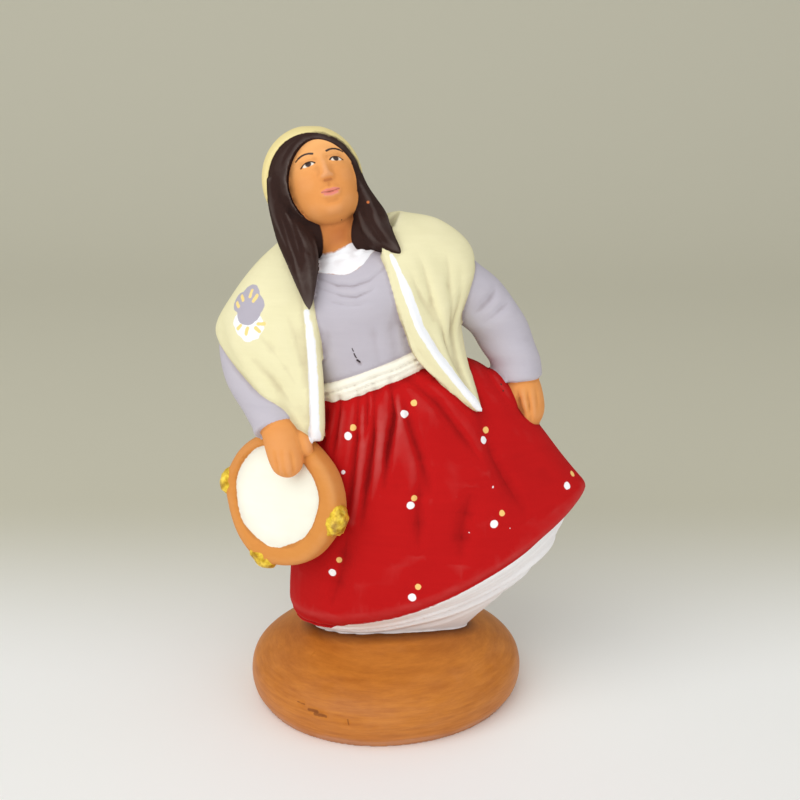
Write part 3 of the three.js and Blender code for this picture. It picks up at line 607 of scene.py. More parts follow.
# The mask and the jaw are smoothed into one before the features: rounds of it, from where forward,
# and how far outside the two it still reaches
FACE_SMOOTHING, FACE_FRONT, FACE_SKIN = 30, -2.8, 0.03

# THE COLLAR: the white shift that shows in the neck of the blouse. It lies on the blouse, lower in
# front than at the sides, and its top edge is gathered round the neck.
COLLAR_TOP = 0.87
# Its lower edge: degrees round the blouse, and share of the way up it
COLLAR_LOW = [(0, 0.84), (180, 0.8), (239, 0.757), (255, 0.722), (262, 0.7), (268, 0.686), (275, 0.708), (280, 0.73),
              (286, 0.76), (294, 0.795), (306, 0.825), (330, 0.84), (360, 0.84)]
COLLAR_PROUD = 0.3


def collar_ring(turn, share):
    low = np.interp(np.degrees(turn), *np.array(COLLAR_LOW).T)
    place = lerp(low, np.full_like(turn, COLLAR_TOP), np.clip(share, 0, 0.92) / 0.92)
    inside = rising(-share, -0.08, 0.08) + rising(share, 0.94, 0.06)
    bead = 0.35 * bell(share - 0.84, 0.09) * (1 + 0.5 * np.sin(turn * 13 + np.sin(turn * 5)))
    gathers = 0.1 * np.sin(turn * 15 + 2 * np.sin(turn * 4)) * np.clip(share * 1.5 - 0.4, 0, 1)
    return blouse_spot(turn, place, COLLAR_PROUD + bead + gathers - 1.4 * inside)


mould("collar", collar_ring, 220, 44)
roll(
    "collar_band",
    [(-5.2, -1.2, 56.8), (-5.9, -1.2, 59.4), (-6.6, -1.3, 61.6)],
    [(6, 6.2), (4.7, 4.9), (3.9, 4.2)],
    around=90, along=40,
)

# THE HAIR: a cap parted in the middle, with a window for the face, and a long lock down in front of
# each shoulder. The strands are combed into the clay, and it is painted dark brown.
COMB_DEPTH = 0.02
WINDOW_CENTRE, WINDOW_RADII, WINDOW_TAPER = (1, -7.6, -2.15), (5.3, 12, 6.15), 0.2


def combed(count, shift=0):
    def ripple(turn, share):
        fine = COMB_DEPTH * np.cos(count * 2 * turn + 5 * share + shift) * (0.4 + 0.6 * np.sin(7 * share + turn) ** 2)
        return 0.035 * np.cos(count * turn + 3 * share) + fine

    return ripple


cap = pat("hair_cap", (0.4, -0.2, 0), (7, 7.4, 7.7), around=96, rings=64)
bpy.ops.object.select_all(action="DESELECT")
bpy.ops.mesh.primitive_cylinder_add(vertices=72, radius=1, depth=1)
window = bpy.context.object
for corner in window.data.vertices:
    corner.co.x *= 1 - WINDOW_TAPER * max(corner.co.y, 0) ** 2
window.data.transform(
    Matrix.Scale(MM, 4) @ head @ Matrix.Translation(WINDOW_CENTRE) @ Matrix.Diagonal((*WINDOW_RADII, 1))
    @ Matrix.Rotation(math.radians(90), 4, "X")
)


def finish_with(form, kind, **settings):
    """Adds a modifier to a form and makes what it does lasting."""
    bpy.ops.object.select_all(action="DESELECT")
    form.select_set(True)
    bpy.context.view_layer.objects.active = form
    bpy.ops.object.modifier_add(type=kind)
    change = form.modifiers[-1]
    for key, value in settings.items():
        setattr(change, key, value)
    bpy.ops.object.modifier_apply(modifier=change.name)


finish_with(cap, "BOOLEAN", object=window, operation="DIFFERENCE")
pat("hair_back", (0, 2.6, -5.4), (6.4, 5, 6.4), around=48, rings=30)
on_figure = Matrix.Translation((0, 0, BASE_TOP))
pat("hair_under", (-3, -2.6, 62.5), (3, 3, 3.5), matrix=on_figure, around=36, rings=24)
roll(
    "hair_long",
    [(-16.1, -0.4, 70.5), (-15.5, -1.5, 67), (-13.6, -3.4, 63.4), (-12.2, -6, 60.4), (-11.5, -8.4, 57.2),
     (-10.9, -9.9, 52.9)],
    [(1.3, 3.4), (1.7, 3.4), (2.6, 3), (2.5, 2.4), (1.7, 1.7), (0.3, 0.3)],
    around=90, along=80, ripple=combed(7), tip=0.06,
)
roll(
    "hair_short",
    [(-4.9, 0.4, 72.4), (-3.5, -0.6, 69), (-2.4, -2.4, 65.6), (-1, -4.8, 63.2), (2.2, -7.1, 60.9)],
    [(0.9, 3), (1.2, 3.2), (2.4, 2.8), (2.3, 2.2), (0.2, 0.3)],
    around=90, along=70, ripple=combed(7, 1), tip=0.06,
)
scores += [
    ([(-14.2, -5.6, 81.7), (-13.8, -5, 78.1), (-12.3, -7.3, 74.8), (-11.5, -9.5, 70.8)], 0.3, 0.2),
    ([(-15.4, -4.5, 83.7), (-15.3, -4.7, 79.5), (-13.7, -6.6, 75.4), (-12.2, -9.1, 71.5), (-11, -10.3, 67.3)],
     0.3, 0.22),
    ([(-12.9, -6.8, 75.4), (-11.1, -8.2, 72.8), (-10.5, -9.7, 68.7)], 0.3, 0.2),
    ([(-16.1, -4.5, 80.2), (-14.9, -6, 75.7), (-13.2, -8.3, 72), (-11.8, -10, 68)], 0.3, 0.2),
    ([(-3.4, -3.9, 80.8), (-3.1, -5, 78.1), (-1, -6.9, 74.7), (0.4, -7.2, 73.3)], 0.3, 0.2),
    ([(-2.5, -4.1, 80.1), (-1.9, -5.8, 77.4), (0.1, -7.3, 74.5), (1.6, -7.6, 73.4)], 0.3, 0.18),
    ([(-4, -4.4, 78), (-3.4, -5.5, 75.7), (-1.6, -6.5, 73.8)], 0.25, 0.16),
    ([(-11.9, -2.7, 89), (-13.7, -3.9, 87.3), (-15, -4.7, 84.5)], 0.3, 0.14),
]

# THE KERCHIEF: a square tied over the crown, its corner hanging behind her neck. Painted yellow.
KERCHIEF_LEAN = 24
KERCHIEF_TURN = -14
cloth = pat("kerchief", (0.2, 0.4, 0.5), (7.5, 7.6, 8), around=96, rings=64)
cut_at = head @ Vector((0, -3, 0))
cut_turn = Matrix.Rotation(math.radians(KERCHIEF_TURN), 3, "Z") @ Matrix.Rotation(math.radians(KERCHIEF_LEAN), 3, "X")
cut_facing = head.to_3x3() @ cut_turn @ Vector((0, -1, 0))
bpy.ops.object.mode_set(mode="EDIT")
bpy.ops.mesh.select_all(action="SELECT")
bpy.ops.mesh.bisect(plane_co=cut_at * MM, plane_no=cut_facing, use_fill=True, clear_outer=True)
bpy.ops.object.mode_set(mode="OBJECT")
finish_with(cloth, "BOOLEAN", object=window, operation="DIFFERENCE")
bpy.data.objects.remove(window)
roll(
    "kerchief_tail",
    [(-10, 3.6, 72.5), (-8.4, 7.6, 65), (-7.2, 9.6, 58), (-6.6, 10.2, 52.5)],
    [(4.6, 2.4), (6, 2.1), (3.6, 1.3), (0.7, 0.5)],
    around=60, tip=0.08,
)

# THE TAMBOURINE: a shallow drum of clay whose rim runs up into her hand, with lumps for jingles on
# its rim. The rim is painted like her hands, the skin ivory, and the jingles gold.
DRUM_RADIUS = 10.2
DRUM_DEPTH = 3.8
DRUM_RIM = 2.7
DRUM_RECESS = 0.45
DRUM_ROUND = 0.7
JINGLE_RADIUS = 2.4
JINGLE_PROUD = 1.6
JINGLE_ANGLES = (-8, -106, 175, 78)
SKIN_OFF_MIDDLE, SKIN_BEYOND = (-0.55, 0.4), 0.9
drum_turn = Matrix.Rotation(math.radians(-32), 4, "Z") @ Matrix.Rotation(math.radians(-8), 4, "X")
drum_up = drum_turn @ Vector((0, 0, 1))
drum_centre = Vector((-14.8, -7.2, 32.2 + BASE_TOP)) - drum_up * (DRUM_RADIUS - DRUM_RIM / 2)
drum = Matrix.Translation(drum_centre) @ drum_turn
DRUM_FRONT = DRUM_DEPTH / 2
DRUM_INNER = DRUM_RADIUS - DRUM_RIM + 0.35
drum_side = through([
    (0.05, -DRUM_FRONT), (DRUM_RADIUS * 0.6, -DRUM_FRONT), (DRUM_RADIUS - DRUM_ROUND, -DRUM_FRONT),
    (DRUM_RADIUS, DRUM_ROUND - DRUM_FRONT), (DRUM_RADIUS, DRUM_FRONT - DRUM_ROUND),
    (DRUM_RADIUS - DRUM_ROUND * 1.2, DRUM_FRONT), (DRUM_INNER + 0.4, DRUM_FRONT - DRUM_RECESS * 0.3),
    (DRUM_INNER, DRUM_FRONT - DRUM_RECESS), (DRUM_INNER * 0.5, DRUM_FRONT - DRUM_RECESS),
    (0.05, DRUM_FRONT - DRUM_RECESS),
])


def drum_ring(turn, share):
    radius, out = drum_side(share).T
    radius = radius * (1 + 0.014 * np.sin(3 * turn + 1) + 0.01 * np.sin(5 * turn))
    for degrees in JINGLE_ANGLES:
        radius = radius + 0.3 * bell((np.degrees(turn) - degrees + 540) % 360 - 180, 16) * (radius > DRUM_INNER + 0.5)
    off = rising(share, 0.6, 0.1)
    x, z = (radius * wave(turn) + shift * off for wave, shift in zip((np.cos, np.sin), SKIN_OFF_MIDDLE))
    return spots_at(x, -out, z) @ np.array(drum.to_3x3()).T + np.array(drum.translation)


mould("drum", drum_ring, 140, 70)
for number, degrees in enumerate(JINGLE_ANGLES):
    angle = math.radians(degrees)
    reach = DRUM_RADIUS + JINGLE_PROUD - JINGLE_RADIUS * 0.6
    out = Matrix.Translation((reach * math.cos(angle), -0.3, reach * math.sin(angle)))
    radii = (JINGLE_RADIUS * 0.6, JINGLE_RADIUS * 0.8, JINGLE_RADIUS)
    lump = pat("jingle" + str(number), (0, 0, 0), radii, drum @ out @ Matrix.Rotation(-angle, 4, "Y"))
    spots = spots_of(lump)
    rough = np.array([noise.noise(Vector(p) * 0.9) + 1.3 * noise.noise(Vector(p) * 2.2) for p in spots])
    middle = spots.mean(axis=0)
    set_spots(lump, middle + (spots - middle) * (0.96 + 0.14 * rough)[:, None])

# ONE CLAY: the wet forms are joined into one solid, smoothed with a damp finger, scored and fired.
CLAY_GRAIN = 0.00027
MOST_TRIANGLES = 190000
UNEVEN = ((0.12, 0.08), (0.45, 0.012))  # bumps to a millimetre, and their height
UNDERSIDE = 0.2  # what is lower than this is pressed flat
MARK_REACH = 3  # how many widths away a mark still counts
VALLEY = 0.6


def surface_of(form):
    """What finds the point of a form's surface that is nearest to another point."""
    return BVHTree.FromPolygons([v.co for v in form.data.vertices], [p.vertices[:] for p in form.data.polygons])


surfaces = {name: surface_of(form) for name, form in forms.items()}
reaches = {name: (spots_of(form).min(axis=0), spots_of(form).max(axis=0)) for name, form in forms.items()}
bpy.ops.object.select_all(action="DESELECT")
for form in forms.values():
    form.select_set(True)
bpy.context.view_layer.objects.active = forms["base"]
bpy.ops.object.join()
santon = bpy.context.object
santon.name = "painted_santon"
finish_with(santon, "REMESH", mode="VOXEL", voxel_size=CLAY_GRAIN)
finish_with(santon, "SMOOTH", factor=0.5, iterations=3)


def away_from(spots, path):
    """Distance of each spot from a path of points, and how far along the path it is, 0 to 1."""
    nearest = np.full(len(spots), np.inf)
    along = np.zeros(len(spots))
    path = np.array(path, float)
    pieces = np.linalg.norm(np.diff(path, axis=0), axis=1)
    walked = np.concatenate([[0], np.cumsum(pieces)])
    for i, length in enumerate(pieces):
        step = path[i + 1] - path[i]
        share = np.clip(((spots - path[i]) @ step) / length**2, 0, 1)
        gap = np.linalg.norm(spots - path[i] - share[:, None] * step, axis=1)
        closer = gap < nearest
        nearest[closer] = gap[closer]
        along[closer] = (walked[i] + share[closer] * length) / walked[-1]
    return nearest, along


def store(name, values):
    santon.data.attributes.new(name, "FLOAT", "POINT").data.foreach_set("value", np.asarray(values, "f"))


def neighbours_of(form):
    """Each edge's two ends, and how many edges meet at each vertex."""
    ends = np.empty(len(form.data.edges) * 2, int)
    form.data.edges.foreach_get("vertices", ends)
    return ends.reshape(-1, 2), np.bincount(ends, minlength=len(form.data.vertices))[:, None]


def evened(spots, ends, count):
    """Each spot moved half way to the middle of its neighbours."""
    total = np.zeros_like(spots)
    for first, last in ((0, 1), (1, 0)):
        for k in range(3):
            total[:, k] += np.bincount(ends[:, first], spots[ends[:, last], k], len(spots))
    return 0.5 * spots + 0.5 * total / count


def facing_of(form):
    return read(form.data.vertex_normals, "vector")


def press(form, marks, fade=0, sharp=0):
    """Pushes the clay in along each mark, a path with its width and depth. It fades over a share of
    the path at either end, and sharp makes a valley of it instead of a trough."""
    spots, facing = spots_of(form), facing_of(form)
    push = np.zeros(len(spots))
    for path, width, depth in marks:
        low, high = np.min(path, axis=0) - MARK_REACH * width, np.max(path, axis=0) + MARK_REACH * width
        near = np.flatnonzero(((spots > low) & (spots < high)).all(axis=1))
        gap, along = away_from(spots[near], path)
        strength = np.clip(np.minimum(along, 1 - along) / fade, 0, 1) if fade else 1
        push[near] -= depth * strength * lerp(bell(gap, width), np.exp(-gap / (VALLEY * width)), sharp)
    set_spots(form, spots + facing * push[:, None])


spots = spots_of(santon)
turn_back = np.array(head.inverted())
on_head = spots @ turn_back[:3, :3].T + turn_back[:3, 3]  # in the head's own frame
depths = [
    (((on_head - np.array(centre)) / np.array(radii)) ** 2).sum(axis=1) ** 0.5 - 1
    for centre, radii in ((MASK_CENTRE, MASK_RADII), (JAW_CENTRE, JAW_RADII))
]
bare = np.minimum(*depths) < FACE_SKIN
face_share = np.clip(FACE_FRONT - on_head[:, 1], 0, 1) * bare
ends, count = neighbours_of(santon)
for _ in range(FACE_SMOOTHING):
    spots = lerp(spots, evened(spots, ends, count), face_share[:, None])
set_spots(santon, spots)
press(santon, FEATURES)
smooth_spots = spots_of(santon)
before = santon.data.attributes.new("before_scoring", "FLOAT_VECTOR", "POINT")
before.data.foreach_set("vector", smooth_spots.ravel().astype("f"))
press(santon, scores, fade=0.35, sharp=0.35)
press(santon, raised)
scored = spots_of(santon)
push = np.zeros(len(scored))
for scale, height in UNEVEN:
    push += height * np.array([noise.noise(Vector(spot) * scale) for spot in smooth_spots])
scored += facing_of(santon) * push[:, None]
scored[:, 2] = np.where(smooth_spots[:, 2] < UNDERSIDE, 0, np.maximum(scored[:, 2], 0))
low, high = (np.array(corner) / MM for corner in cad_box)
set_spots(santon, np.clip(scored, low, high))
faces = sum(len(p.vertices) - 2 for p in santon.data.polygons)
finish_with(santon, "DECIMATE", ratio=min(1, MOST_TRIANGLES / faces))
bpy.ops.object.shade_smooth()
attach(santon, "root")
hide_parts("santon_figure")

# THE PAINT: each colour's field is the distance in millimetres inside its own edge, so that the
# brush stops where one form meets the next. Hollows are painted darker, as painted shade.
FAR = 3.0  # how far from a form its paint is still measured
WHITE_TIP, WHITE_TIP_SLOPE = (-11, 12), 1.5  # where the petticoat's white starts, by x and z
HOLLOW_STEPS = (6, 24)  # rounds of evening out, after which what has sunk counts as a hollow
PARTS = {
    "skirt": ["skirt", "skirt_bunch"],
    "petticoat": ["petticoat"],
    "blouse": ["blouse", "drum_sleeve", "skirt_sleeve"],
    "belt": ["belt"],
    "shawl": ["shawl", "shawl_bead_right", "shawl_bead_left"],
    "skin": ["mask", "jaw", "neck", "drum_hand", "drum_thumb", "skirt_hand"],
    "neck": ["neck"],
    "collar": ["collar", "collar_band"],
    "hair": ["hair_cap", "hair_back", "hair_under", "hair_long", "hair_short"],
    "kerchief": ["kerchief", "kerchief_tail"],
    "drum": ["drum"],
    "gold": ["jingle" + str(number) for number in range(len(JINGLE_ANGLES))],
}
unscored = read(santon.data.attributes["before_scoring"].data, "vector")
gaps, margins = {}, {}
for name, surface in surfaces.items():
    low, high = reaches[name]
    gap = np.full(len(unscored), FAR)
    for i in np.flatnonzero(((unscored > low - FAR) & (unscored < high + FAR)).all(axis=1)):
        found = surface.find_nearest(Vector(unscored[i]) * MM, FAR * MM)[3]
        if found is not None:
            gap[i] = found / MM
    gaps[name] = gap
for part, own in PARTS.items():
    inside = np.min([gaps[name] for name in own], axis=0)
    outside = np.min([gap for name, gap in gaps.items() if name not in own], axis=0)
    margins[part] = outside - inside
# At her right the skirt's red runs on over the petticoat, whose white tapers to a tip
past_tip = WHITE_TIP[0] - unscored[:, 0] + WHITE_TIP_SLOPE * (unscored[:, 2] - WHITE_TIP[1])
margins["skirt"] = np.maximum(margins["skirt"], np.minimum(margins["petticoat"], past_tip))
margins["petticoat"] = np.minimum(margins["petticoat"], -past_tip)
for part, margin in margins.items():
    store(part + "_paint", margin)
# How near each point is to the skirt or petticoat; the base is painted darker close to them, as painted shade
store("near_cloth", np.minimum(gaps["petticoat"], gaps["skirt"]))
santon.data.attributes.remove(santon.data.attributes["before_scoring"])
spots = spots_of(santon)
clay = surface_of(santon)


def on_clay(spot):
    """The point of the finished surface nearest to this one."""
    return tuple(clay.find_nearest(Vector(spot) * MM)[0] / MM)


def dab(centre, radius):
    return radius - np.linalg.norm(spots - np.array(centre), axis=1)


def stroke(path, first, last):
    gap, along = away_from(spots, path)
    return lerp(first, last, np.clip(along * 5, 0, 1)) / 2 - gap


PATCH_LILAC = [
    ((-20.3, -5.7, 65.3), 2.2), ((-20.1, -5.4, 66.4), 1.7), ((-20.3, -6.4, 63.9), 1.9),
    ((-21.6, -4.6, 65.2), 1.6), ((-19.2, -6.3, 65), 1.6), ((-19.6, -6.7, 63.9), 1.3),
]
PATCH_WHITE = [
    ((-20.4, -6.9, 62), 1.8), ((-19.3, -7.2, 62.4), 1.5), ((-21.7, -6.3, 62.6), 1.2), ((-18.6, -7.5, 61.9), 0.9),
    ((-20.2, -7.4, 60.7), 1), ((-19.3, -7.6, 61.1), 1), ((-21.5, -6.6, 61.7), 0.9),
]
STITCHES = [
    ((-21.3, -4.1, 65.9), (-21, -4.9, 65.4)), ((-22.1, -4.1, 64.9), (-21.7, -4.9, 64.5)),
    ((-19.7, -5, 66.9), (-20, -5.4, 66.1)), ((-18.9, -5.8, 66.3), (-19.4, -6, 65.6)),
    ((-21.8, -6.5, 61.5), (-21.3, -6.6, 62)), ((-20.5, -7.3, 60.9), (-20.3, -7.2, 61.7)),
    ((-18.5, -7.8, 61.4), (-19, -7.5, 61.8)), ((-17.8, -7.7, 62.5), (-18.6, -7.4, 62.4)),
]
DOTS_WHITE = [
    (-5.6, -9.2, 45.7), (3, -10.5, 49.5), (15, -8.9, 45), (28, -5.2, 36.3), (16.3, -11.8, 32.6),
    (3.8, -12.5, 35.8), (-8.3, -10.3, 23.8), (4, -13.9, 21.6),
]
DOTS_YELLOW = [
    (-4.8, -9.4, 47), (4.2, -10, 51.1), (15.2, -8.2, 46.3), (29, -3.1, 37.5), (17.5, -11.1, 34.1),
    (4.4, -12.4, 36.9), (-7.2, -10.7, 26), (4.9, -13.8, 23.3),
]
# The same pairs of dots go on round the back: angle round the skirt and share of the way down
BACK_DOTS = [
    (30, 0.3), (60, 0.55), (95, 0.42), (130, 0.6), (165, 0.4), (48, 0.82), (110, 0.86), (150, 0.88), (190, 0.66),
]
for degrees, share in BACK_DOTS:
    turn = np.radians([degrees, degrees + 1.5])
    white, yellow = skirt_spot(turn, np.array([share + 0.022, share - 0.022]), pleats(turn, np.array([share, share])))
    DOTS_WHITE.append(tuple(white))
    DOTS_YELLOW.append(tuple(yellow))
store("trim_paint", np.max([stroke(*row) for row in TRIMS], axis=0))
store("lilac_paint", np.max([dab(*row) for row in PATCH_LILAC], axis=0))
store("scrap_paint", np.max([dab(*row) for row in PATCH_WHITE], axis=0))
inward = np.array(drum.inverted().to_3x3())
on_drum = (spots - np.array(drum_centre)) @ inward.T
skin_x, skin_z = on_drum[:, 0] - SKIN_OFF_MIDDLE[0], on_drum[:, 2] - SKIN_OFF_MIDDLE[1]
hoop = np.hypot(skin_x, skin_z)
bearing = np.arctan2(skin_z, skin_x)
edge = DRUM_INNER - 0.1 + 0.14 * np.sin(bearing * 3 + 1) + 0.1 * np.sin(bearing * 7)
skin_edge = np.where(np.abs(on_drum[:, 1]) > SKIN_BEYOND, edge - hoop, -1)
store("drumskin_paint", np.minimum(skin_edge, margins["drum"]))
ends, count = neighbours_of(santon)
calm, hollow = spots.copy(), np.zeros(len(spots))
for step in range(HOLLOW_STEPS[-1]):
    calm = evened(calm, ends, count)
    if step + 1 in HOLLOW_STEPS:
        hollow += np.einsum("ij,ij->i", calm - spots, facing_of(santon))
store("hollow", hollow)


def tint(red, green, blue):
    """A paint by its red, green and blue on a screen, 0 to 255."""
    def linear(value):
        value /= 255
        return value / 12.92 if value <= 0.04045 else ((value + 0.055) / 1.055) ** 2.4

    return (linear(red), linear(green), linear(blue), 1)


material = bpy.data.materials.new("hand_painted_clay")
material.use_nodes = True
paint_tree = material.node_tree


def add_node(kind, wanted=(), tree=paint_tree, **settings):
    """A new node with its settings, each wanted socket set to a value or linked to an output."""
    node = tree.nodes.new("ShaderNode" + kind)
    for key, value in settings.items():
        setattr(node, key, value)
    for key, value in dict(wanted).items():
        if isinstance(value, (int, float, tuple)):
            node.inputs[key].default_value = value
        else:
            tree.links.new(value, node.inputs[key])
    return node


def maths(kind, *values, clamp=False, tree=paint_tree):
    return add_node("Math", enumerate(values), tree, operation=kind, use_clamp=clamp).outputs[0]


def times(first, second):
    return maths("MULTIPLY", first, second)


def rise(value, slope, start, tree=paint_tree):
    """A straight rise with a value, kept between 0 and 1."""
    return maths("MULTIPLY_ADD", value, slope, start, clamp=True, tree=tree)


def mix(mask, first, second, **settings):
    return add_node("Mix", {"Factor": mask, "A": first, "B": second}, data_type="RGBA", **settings).outputs["Result"]


def group_with(name, ins, result):
    """A node group, with its input sockets and the one that takes its result."""
    tree = bpy.data.node_groups.new(name, "ShaderNodeTree")
    for label, kind in ins.items():
        tree.interface.new_socket(name=label, in_out="INPUT", socket_type="NodeSocket" + kind)
    tree.interface.new_socket(name=result, in_out="OUTPUT", socket_type="NodeSocketFloat")
    return tree, tree.nodes.new("NodeGroupInput").outputs, tree.nodes.new("NodeGroupOutput").inputs[result]


def use(tree, **wanted):
    return add_node("Group", wanted, node_tree=tree).outputs[0]


coordinates = add_node("TexCoord").outputs["Object"]


def stretched(*scale):
    return add_node("Mapping", {"Scale": scale, "Vector": coordinates}).outputs["Vector"]


def noise_node(scale, detail=3, rough=0.55, vector=coordinates, output="Fac"):
    wanted = {"Scale": scale, "Detail": detail, "Roughness": rough, "Vector": vector}
    return add_node("TexNoise", wanted).outputs[output]


def attribute(name):
    return add_node("Attribute", attribute_name=name).outputs["Fac"]


# A painted edge: the field, shaken a little by an unsteady brush, turned into a mask
EDGE_SHARPNESS = 9
edge_tree, took, gave = group_with(
    "painted_edge", {"Field": "Float", "Shake": "Float", "Amount": "Float", "Grow": "Float"}, "Mask",
)
shaken = maths("MULTIPLY_ADD", took["Shake"], took["Amount"], took["Field"], tree=edge_tree)
grown = maths("ADD", shaken, took["Grow"], tree=edge_tree)
edge_tree.links.new(rise(grown, EDGE_SHARPNESS, 0.5, edge_tree), gave)

shake = maths("SUBTRACT", noise_node(900, 2), 0.5)
cloud = noise_node(130, 4)
streaks = noise_node(1100, 4, 0.65, stretched(0.12, 0.35, 1))
# How light a coat comes out over the surface, 0 to 1
coat = maths("ADD", times(cloud, 0.5), times(streaks, 0.5), clamp=True)

# Paints in the order they go on: field, light colour, dark colour, edge shake, growth, roughness
PAINTS = [
    ("petticoat", (254, 252, 250), (236, 232, 232), 0.12, 0, 0.8),
    ("skirt", (198, 21, 21), (178, 12, 14), 0.15, 0.03, 0.97),
    ("blouse", (202, 196, 204), (184, 178, 187), 0.15, 0, 0.8),
    ("belt", (255, 253, 242), (245, 239, 216), 0.2, 0.05, 0.75),
    ("skin", (236, 162, 92), (226, 146, 76), 0.15, 0, 0.78),
    ("drum", (226, 154, 78), (208, 132, 60), 0.15, 0, 0.75),
    ("drumskin", (255, 254, 240), (250, 248, 228), 0.4, 0, 0.75),
    ("gold", (232, 192, 40), (176, 138, 20), 0.5, 0.2, 0.5),
    ("collar", (254, 254, 254), (240, 240, 244), 0.2, 0, 0.7),
    ("shawl", (246, 239, 197), (228, 220, 174), 0.12, 0.04, 0.8),
    ("scrap", (254, 254, 254), (244, 244, 244), 0.6, 0, 0.7),
    ("lilac", (186, 180, 190), (176, 170, 182), 0.4, 0, 0.75),
    ("trim", (255, 255, 255), (242, 244, 248), 0.3, 0, 0.68),
    ("kerchief", (244, 228, 164), (232, 212, 142), 0.15, 0.15, 0.78),
    ("hair", (58, 35, 28), (40, 24, 20), 0.15, 0.03, 0.85),
]
BASE_ROUGHNESS = 0.42
swept = rise(noise_node(1700, 5, 0.7, stretched(0.1, 0.1, 1)), 2, -0.5)
swept = maths("ADD", times(swept, 0.6), times(cloud, 0.4))
colour = mix(swept, tint(160, 85, 24), tint(216, 137, 53))
# Painted shade: the base is painted dark brown where it meets the skirt and petticoat
colour = mix(times(rise(attribute("near_cloth"), -0.45, 1), 0.85), colour, tint(84, 40, 14))
roughness = BASE_ROUGHNESS
masks = {}


def paint_over(mask, paint, gloss):
    """Lays a paint over what is there, with its own roughness."""
    global colour, roughness
    colour = mix(mask, colour, paint)
    under = times(maths("SUBTRACT", 1, mask), roughness)
    roughness = maths("MULTIPLY_ADD", mask, gloss, under)


for name, light, dark, amount, growth, gloss in PAINTS:
    masks[name] = use(edge_tree, Field=attribute(name + "_paint"), Shake=shake, Amount=amount, Grow=growth)
    paint_over(masks[name], mix(coat, tint(*dark), tint(*light)), gloss)
# The gold is mottled by noise between dark olive and bright yellow; the bright spots are painted glints
paint_over(masks["gold"], mix(rise(shake, 3, 0.55), tint(178, 134, 20), tint(255, 220, 72)), 0.42)
# Painted shadow: the skin on the neck below the chin is painted a darker red brown
painted_chin_shadow = times(rise(attribute("neck_paint"), 0.35, 0.4), masks["skin"])
paint_over(times(painted_chin_shadow, 0.8), tint(166, 82, 34), 0.75)


def vector_maths(tree, kind, *values, output="Vector", **wanted):
    wanted = {**dict(enumerate(values)), **wanted}
    return add_node("VectorMath", wanted, tree, operation=kind).outputs[output]


# A dab of the brush: the distance inside it, or the field laid before it where that is greater
dab_tree, took, gave = group_with(
    "dab", {"Centre": "Vector", "Size": "Float", "Before": "Float", "Position": "Vector"}, "Field",
)
gap = vector_maths(dab_tree, "DISTANCE", took["Position"], took["Centre"], output="Value")
margin = maths("SUBTRACT", took["Size"], gap, tree=dab_tree)
dab_tree.links.new(maths("MAXIMUM", margin, took["Before"], tree=dab_tree), gave)

# A fine stroke of the brush from a start along a span, as a mask; its rate is 1 over the span squared
line_tree, took, gave = group_with(
    "brush_line",
    {"Start": "Vector", "Span": "Vector", "Rate": "Float", "Width": "Float", "Position": "Vector"}, "Mask",
)
reach = vector_maths(line_tree, "SUBTRACT", took["Position"], took["Start"])
along = vector_maths(line_tree, "DOT_PRODUCT", reach, took["Span"], output="Value")
share = maths("MULTIPLY", along, took["Rate"], clamp=True, tree=line_tree)
step = vector_maths(line_tree, "SCALE", took["Span"], Scale=share)
gap = vector_maths(line_tree, "DISTANCE", reach, step, output="Value")
margin = maths("SUBTRACT", took["Width"], gap, tree=line_tree)
line_tree.links.new(rise(margin, EDGE_SHARPNESS, 0.5, line_tree), gave)

WOBBLE = 0.3
WOBBLE_MIDDLE = WOBBLE / 2  # what its noise adds on average
position = vector_maths(paint_tree, "SCALE", coordinates, Scale=1 / MM)
wobble = noise_node(1100, 2, 0.5, output="Color")
shaky_position = vector_maths(paint_tree, "MULTIPLY_ADD", wobble, (WOBBLE, WOBBLE, WOBBLE), position)


def brush_lines(strokes, where, shift=0):
    """One mask of all these strokes, each a path of points and a half width in millimetres."""
    whole_mask = None
    for path, half in strokes:
        for first, last in zip(path, path[1:]):
            span = Vector(last) - Vector(first)
            start, rate = tuple(v + shift for v in first), 1 / span.length_squared
            mask = use(line_tree, Start=start, Span=tuple(span), Rate=rate, Width=half, Position=where)
            whole_mask = maths("MAXIMUM", whole_mask, mask) if whole_mask else mask
    return whole_mask


def clay_lines(strokes):
    """Strokes laid on the finished clay by an unsteady hand."""
    laid = [([on_clay(point) for point in path], half) for path, half in strokes]
    return brush_lines(laid, shaky_position, WOBBLE_MIDDLE)


def dabs(marks):
    """One mask of round dabs, each a middle and a radius in millimetres."""
    field = -1.0
    for middle, size in marks:
        centre = tuple(v + WOBBLE_MIDDLE for v in on_clay(middle))
        field = use(dab_tree, Centre=centre, Size=size, Before=field, Position=shaky_position)
    return use(edge_tree, Field=field, Shake=shake, Amount=0, Grow=0)


